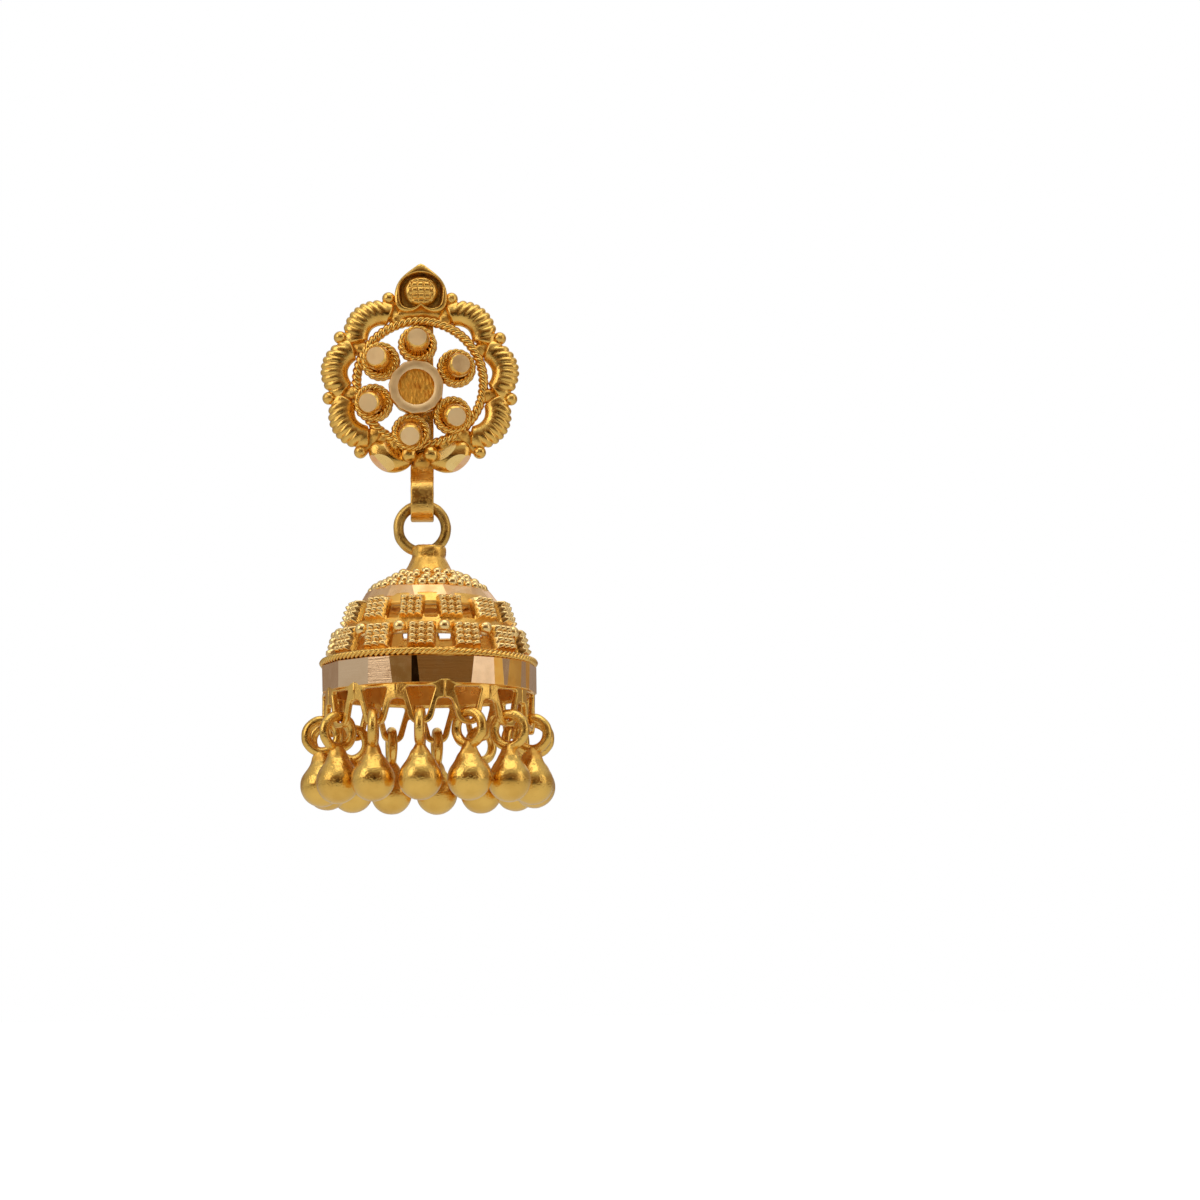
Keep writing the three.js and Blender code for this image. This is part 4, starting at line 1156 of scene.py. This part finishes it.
# Round drops
# Fourteen hollow gold balls, each drawn up into a pear neck and soldered to a wire ring that
# hangs in its loop of the skirt. Satin gold with fine pits, and lumps of solder at the ring.
LINK_WIRE = 0.37
LINK_RADIUS = 1.17
LINK_Z = RIM_FOOT - SKIRT_DROP + 0.9 - LINK_RADIUS
DROP_CIRCLE = SKIRT_RADIUS + 0.25
DROP_RADIUS = 1.59
DROP_Z = LINK_Z - LINK_RADIUS - 0.91 - DROP_RADIUS
DROP_TURNS = (0, 30, 20, 0, -10, 15, -20, 10, -15, 20, 8, -5, 0, 28)
satin_gold = gold(
    "satin_gold", (0.90, 0.56, 0.13, 1), (0.5, 0.2, 0.01, 1), tone={"Groove Shade": 0.9, "Cloud": 0.35, "Cloud Scale": 500.0},
    surface={"Smooth": 0.15, "Rough": 0.24, "Waves": 0.35, "Wave Scale": 600.0, "Pits": 0.9, "Pit Scale": 5200.0},
    bump=0.022,
)


NECK_ROW = 38


def drop_body(seed):
    """The ball and its pear neck. The neck is wider along its ring than across it."""
    rows, columns = 46, 44
    neck_foot = math.radians(34)
    neck_top = LINK_Z - LINK_RADIUS + 0.1

    def at(i, j):
        around = 2 * math.pi * j / columns
        if i < 32:
            up = -math.pi / 2 + (neck_foot + math.pi / 2) * i / 31
            radius, height, wide = DROP_RADIUS * math.cos(up), DROP_Z + DROP_RADIUS * math.sin(up), 1.0
        else:
            t = (i - 31) / (rows - 32)
            low, high = DROP_RADIUS * math.cos(neck_foot), 0.38
            ease = 1 - (1 - t) ** 1.25
            radius = low + (high - low) * ease
            height = DROP_Z + DROP_RADIUS * math.sin(neck_foot)
            height += (neck_top - height) * t
            wide = 1.0 + 0.25 * smooth_step(0.3, 1.0, t)
        point = Vector((radius * math.cos(around), radius * math.sin(around) * wide, height))
        rough = 0.015 + 0.09 * smooth_step(0.3, 1.2, (height - DROP_Z) / DROP_RADIUS)
        return point + noise.noise_vector(point * 1.6 + Vector((seed * 5.0, 0, 0))) * rough

    return grid(rows, columns, at, False, True)


link_steps = 44
for i in range(DROPS):
    path = [polar(LINK_RADIUS, 2 * math.pi * k / link_steps) for k in range(link_steps)]
    turn = Matrix.Rotation(math.radians(FIRST_ANGLE + i * DROP_PITCH), 4, "Z")
    place = BELL @ turn @ Matrix.Translation((0, -DROP_CIRCLE, 0))
    place = place @ Matrix.Rotation(math.radians(DROP_TURNS[i]), 4, "Z")
    sideways = Matrix.Translation((0, 0, LINK_Z)) @ FACE_UP
    body_points, body_faces = drop_body(i)
    drop = Work()
    for finish in (0, 1):
        chosen = [face for face in body_faces if (min(face) >= NECK_ROW * 44) == bool(finish)]
        drop.add((body_points, chosen), place, finish)
    drop.add(
        lumpy(wire(path, LINK_WIRE, 16, True, path), 0.03, 1.5),
        place @ Matrix.Translation((0, 0, LINK_Z)) @ Matrix.Rotation(math.radians(90), 4, "Z") @ FACE_UP,
    )
    name = f"bead_drop_{i + 1:02d}"
    drop.piece("round_" + name, [satin_gold, solder_gold], "drop", name, "gold_bead")

# Floor, light and camera
# A plain pale floor below the hanging earring, soft white lamps above and beside it, and a
# darker side towards the camera, which gives the gold its contrast. Seen in the gold, the floor
# glows with a painted pool of light in front of the earring, and further out in front it is
# painted dark as painted shade.
FLOOR_Z = -75
FLOOR_SIZE = 6.0
GLOW_PLACE = (0, -35, FLOOR_Z)
GLOW = 0.08
WARM_SHADE = (1.0, 0.5, 0.13, 1)
CAMERA = Vector((0.3, -201, -46.3)) * MM
AIM = Vector((13.46, -1.0, -16.82)) * MM
ROLL = math.radians(-0.57)
LENS = 80.1

floor_mesh = bpy.data.meshes.new("floor")
half = FLOOR_SIZE / 2
floor_mesh.from_pydata(
    [(-half, -half, FLOOR_Z * MM), (half, -half, FLOOR_Z * MM), (half, half, FLOOR_Z * MM), (-half, half, FLOOR_Z * MM)],
    [], [(0, 1, 2, 3)],
)
floor_white = bpy.data.materials.new("floor_white")
floor_white.use_nodes = True
floor_shader = floor_white.node_tree.nodes["Principled BSDF"]
floor_shader.inputs["Base Color"].default_value = (0.8, 0.8, 0.8, 1)
floor_shader.inputs["Roughness"].default_value = 0.9
floor_shader.inputs["Emission Color"].default_value = (1, 1, 1, 1)
floor_seen = floor_white.node_tree.nodes.new("ShaderNodeLightPath")
floor_nodes, floor_link = floor_white.node_tree.nodes, floor_white.node_tree.links.new
floor_place = floor_nodes.new("ShaderNodeNewGeometry")
floor_reach = floor_nodes.new("ShaderNodeVectorMath")
floor_reach.operation = "DISTANCE"
floor_reach.inputs[1].default_value = Vector(GLOW_PLACE) * MM
floor_link(floor_place.outputs["Position"], floor_reach.inputs[0])
# Painted light: a glowing pool on the floor in front of the earring, which lights the gold from below.
floor_glow = floor_nodes.new("ShaderNodeMapRange")
floor_glow.interpolation_type = "SMOOTHSTEP"
for name, value in (("From Min", 0.02), ("From Max", 0.13), ("To Min", GLOW), ("To Max", 0.0)):
    floor_glow.inputs[name].default_value = value
floor_link(floor_reach.outputs["Value"], floor_glow.inputs["Value"])
floor_sum = floor_nodes.new("ShaderNodeMath")
floor_sum.operation = "MAXIMUM"
floor_link(floor_glow.outputs["Result"], floor_sum.inputs[0])
floor_link(floor_seen.outputs["Is Camera Ray"], floor_sum.inputs[1])
floor_link(floor_sum.outputs[0], floor_shader.inputs["Emission Strength"])
floor_parts = floor_nodes.new("ShaderNodeSeparateXYZ")
floor_link(floor_place.outputs["Position"], floor_parts.inputs["Vector"])
# Painted shade: the floor's colour turns dark further out in front.
floor_dark = floor_nodes.new("ShaderNodeMapRange")
floor_dark.interpolation_type = "SMOOTHSTEP"
for name, value in (("From Min", -0.65), ("From Max", -0.28), ("To Min", 0.0), ("To Max", 1.0)):
    floor_dark.inputs[name].default_value = value
floor_link(floor_parts.outputs["Y"], floor_dark.inputs["Value"])
floor_colour = floor_nodes.new("ShaderNodeMix")
floor_colour.data_type = "RGBA"
floor_colour.inputs["A"].default_value = (0.12, 0.1, 0.07, 1)
floor_colour.inputs["B"].default_value = (0.8, 0.8, 0.8, 1)
floor_link(floor_dark.outputs["Result"], floor_colour.inputs["Factor"])
floor_link(floor_colour.outputs["Result"], floor_shader.inputs["Base Color"])
floor_mesh.materials.append(floor_white)
floor = bpy.data.objects.new("floor", floor_mesh)
bpy.context.scene.collection.objects.link(floor)


def lamp(name, place, size, power, colour=(1, 1, 1)):
    light = bpy.data.lights.new(name, "AREA")
    light.shape = "RECTANGLE"
    light.size, light.size_y = size[0] * MM, size[1] * MM
    light.energy = power
    light.color = colour
    made = bpy.data.objects.new(name, light)
    made.location = Vector(place) * MM
    made.rotation_euler = (Vector((0, 0, -15)) * MM - made.location).to_track_quat("-Z", "Y").to_euler()
    bpy.context.scene.collection.objects.link(made)


lamp("lamp_left", (-230, -170, 120), (160, 220), 0.16)
lamp("lamp_right", (250, -120, 60), (120, 220), 0.07)
lamp("lamp_top", (20, -60, 260), (240, 200), 0.17)
lamp("lamp_back", (60, 240, 120), (200, 160), 0.05)

world = bpy.data.worlds.new("studio")
bpy.context.scene.world = world
world.use_nodes = True
nodes, link = world.node_tree.nodes, world.node_tree.links.new
sky = nodes["Background"]
place = nodes.new("ShaderNodeTexCoord")
parts = nodes.new("ShaderNodeSeparateXYZ")
link(place.outputs["Generated"], parts.inputs["Vector"])


def ramp(value, low, high, to_low, to_high):
    """A smooth change from one strength to another between two values."""
    step = nodes.new("ShaderNodeMapRange")
    step.interpolation_type = "SMOOTHSTEP"
    step.inputs["From Min"].default_value = low
    step.inputs["From Max"].default_value = high
    step.inputs["To Min"].default_value = to_low
    step.inputs["To Max"].default_value = to_high
    link(value, step.inputs["Value"])
    return step.outputs["Result"]


def combine(operation, a, b):
    both = nodes.new("ShaderNodeMath")
    both.operation = operation
    link(a, both.inputs[0])
    link(b, both.inputs[1])
    return both.outputs[0]


toward_front = nodes.new("ShaderNodeVectorMath")
toward_front.operation = "DOT_PRODUCT"
toward_front.inputs[1].default_value = (0.03, -0.998, -0.06)
link(place.outputs["Generated"], toward_front.inputs[0])
around = ramp(parts.outputs["Y"], -1.0, -0.1, 0.22, 0.34)
dark_spot = ramp(toward_front.outputs["Value"], 0.915, 0.985, 1.0, 0.1)
above = ramp(parts.outputs["Z"], 0.3, 0.8, 0.0, 0.3)
beside = ramp(parts.outputs["X"], -0.98, -0.75, 0.22, 0.0)
strength = combine("ADD", combine("MULTIPLY", around, dark_spot), combine("ADD", above, beside))
seen = nodes.new("ShaderNodeLightPath")
choose = nodes.new("ShaderNodeMix")
link(seen.outputs["Is Camera Ray"], choose.inputs["Factor"])
link(strength, choose.inputs["A"])
choose.inputs["B"].default_value = 1.0
link(choose.outputs["Result"], sky.inputs["Strength"])
tint = nodes.new("ShaderNodeMix")
tint.data_type = "RGBA"
tint.inputs["A"].default_value = WARM_SHADE
tint.inputs["B"].default_value = (1, 1, 1, 1)
link(ramp(choose.outputs["Result"], 0.12, 0.5, 0.0, 1.0), tint.inputs["Factor"])
link(tint.outputs["Result"], sky.inputs["Color"])

camera_data = bpy.data.cameras.new("camera")
camera_data.sensor_width = 36
camera_data.lens = LENS
camera_data.clip_start = 0.005
camera = bpy.data.objects.new("camera", camera_data)
camera.location = CAMERA
facing = (AIM - CAMERA).to_track_quat("-Z", "Y").to_matrix() @ Matrix.Rotation(ROLL, 3, "Z")
camera.rotation_euler = facing.to_euler()
bpy.context.scene.collection.objects.link(camera)
bpy.context.scene.camera = camera
bpy.context.scene.view_settings.view_transform = "Standard"
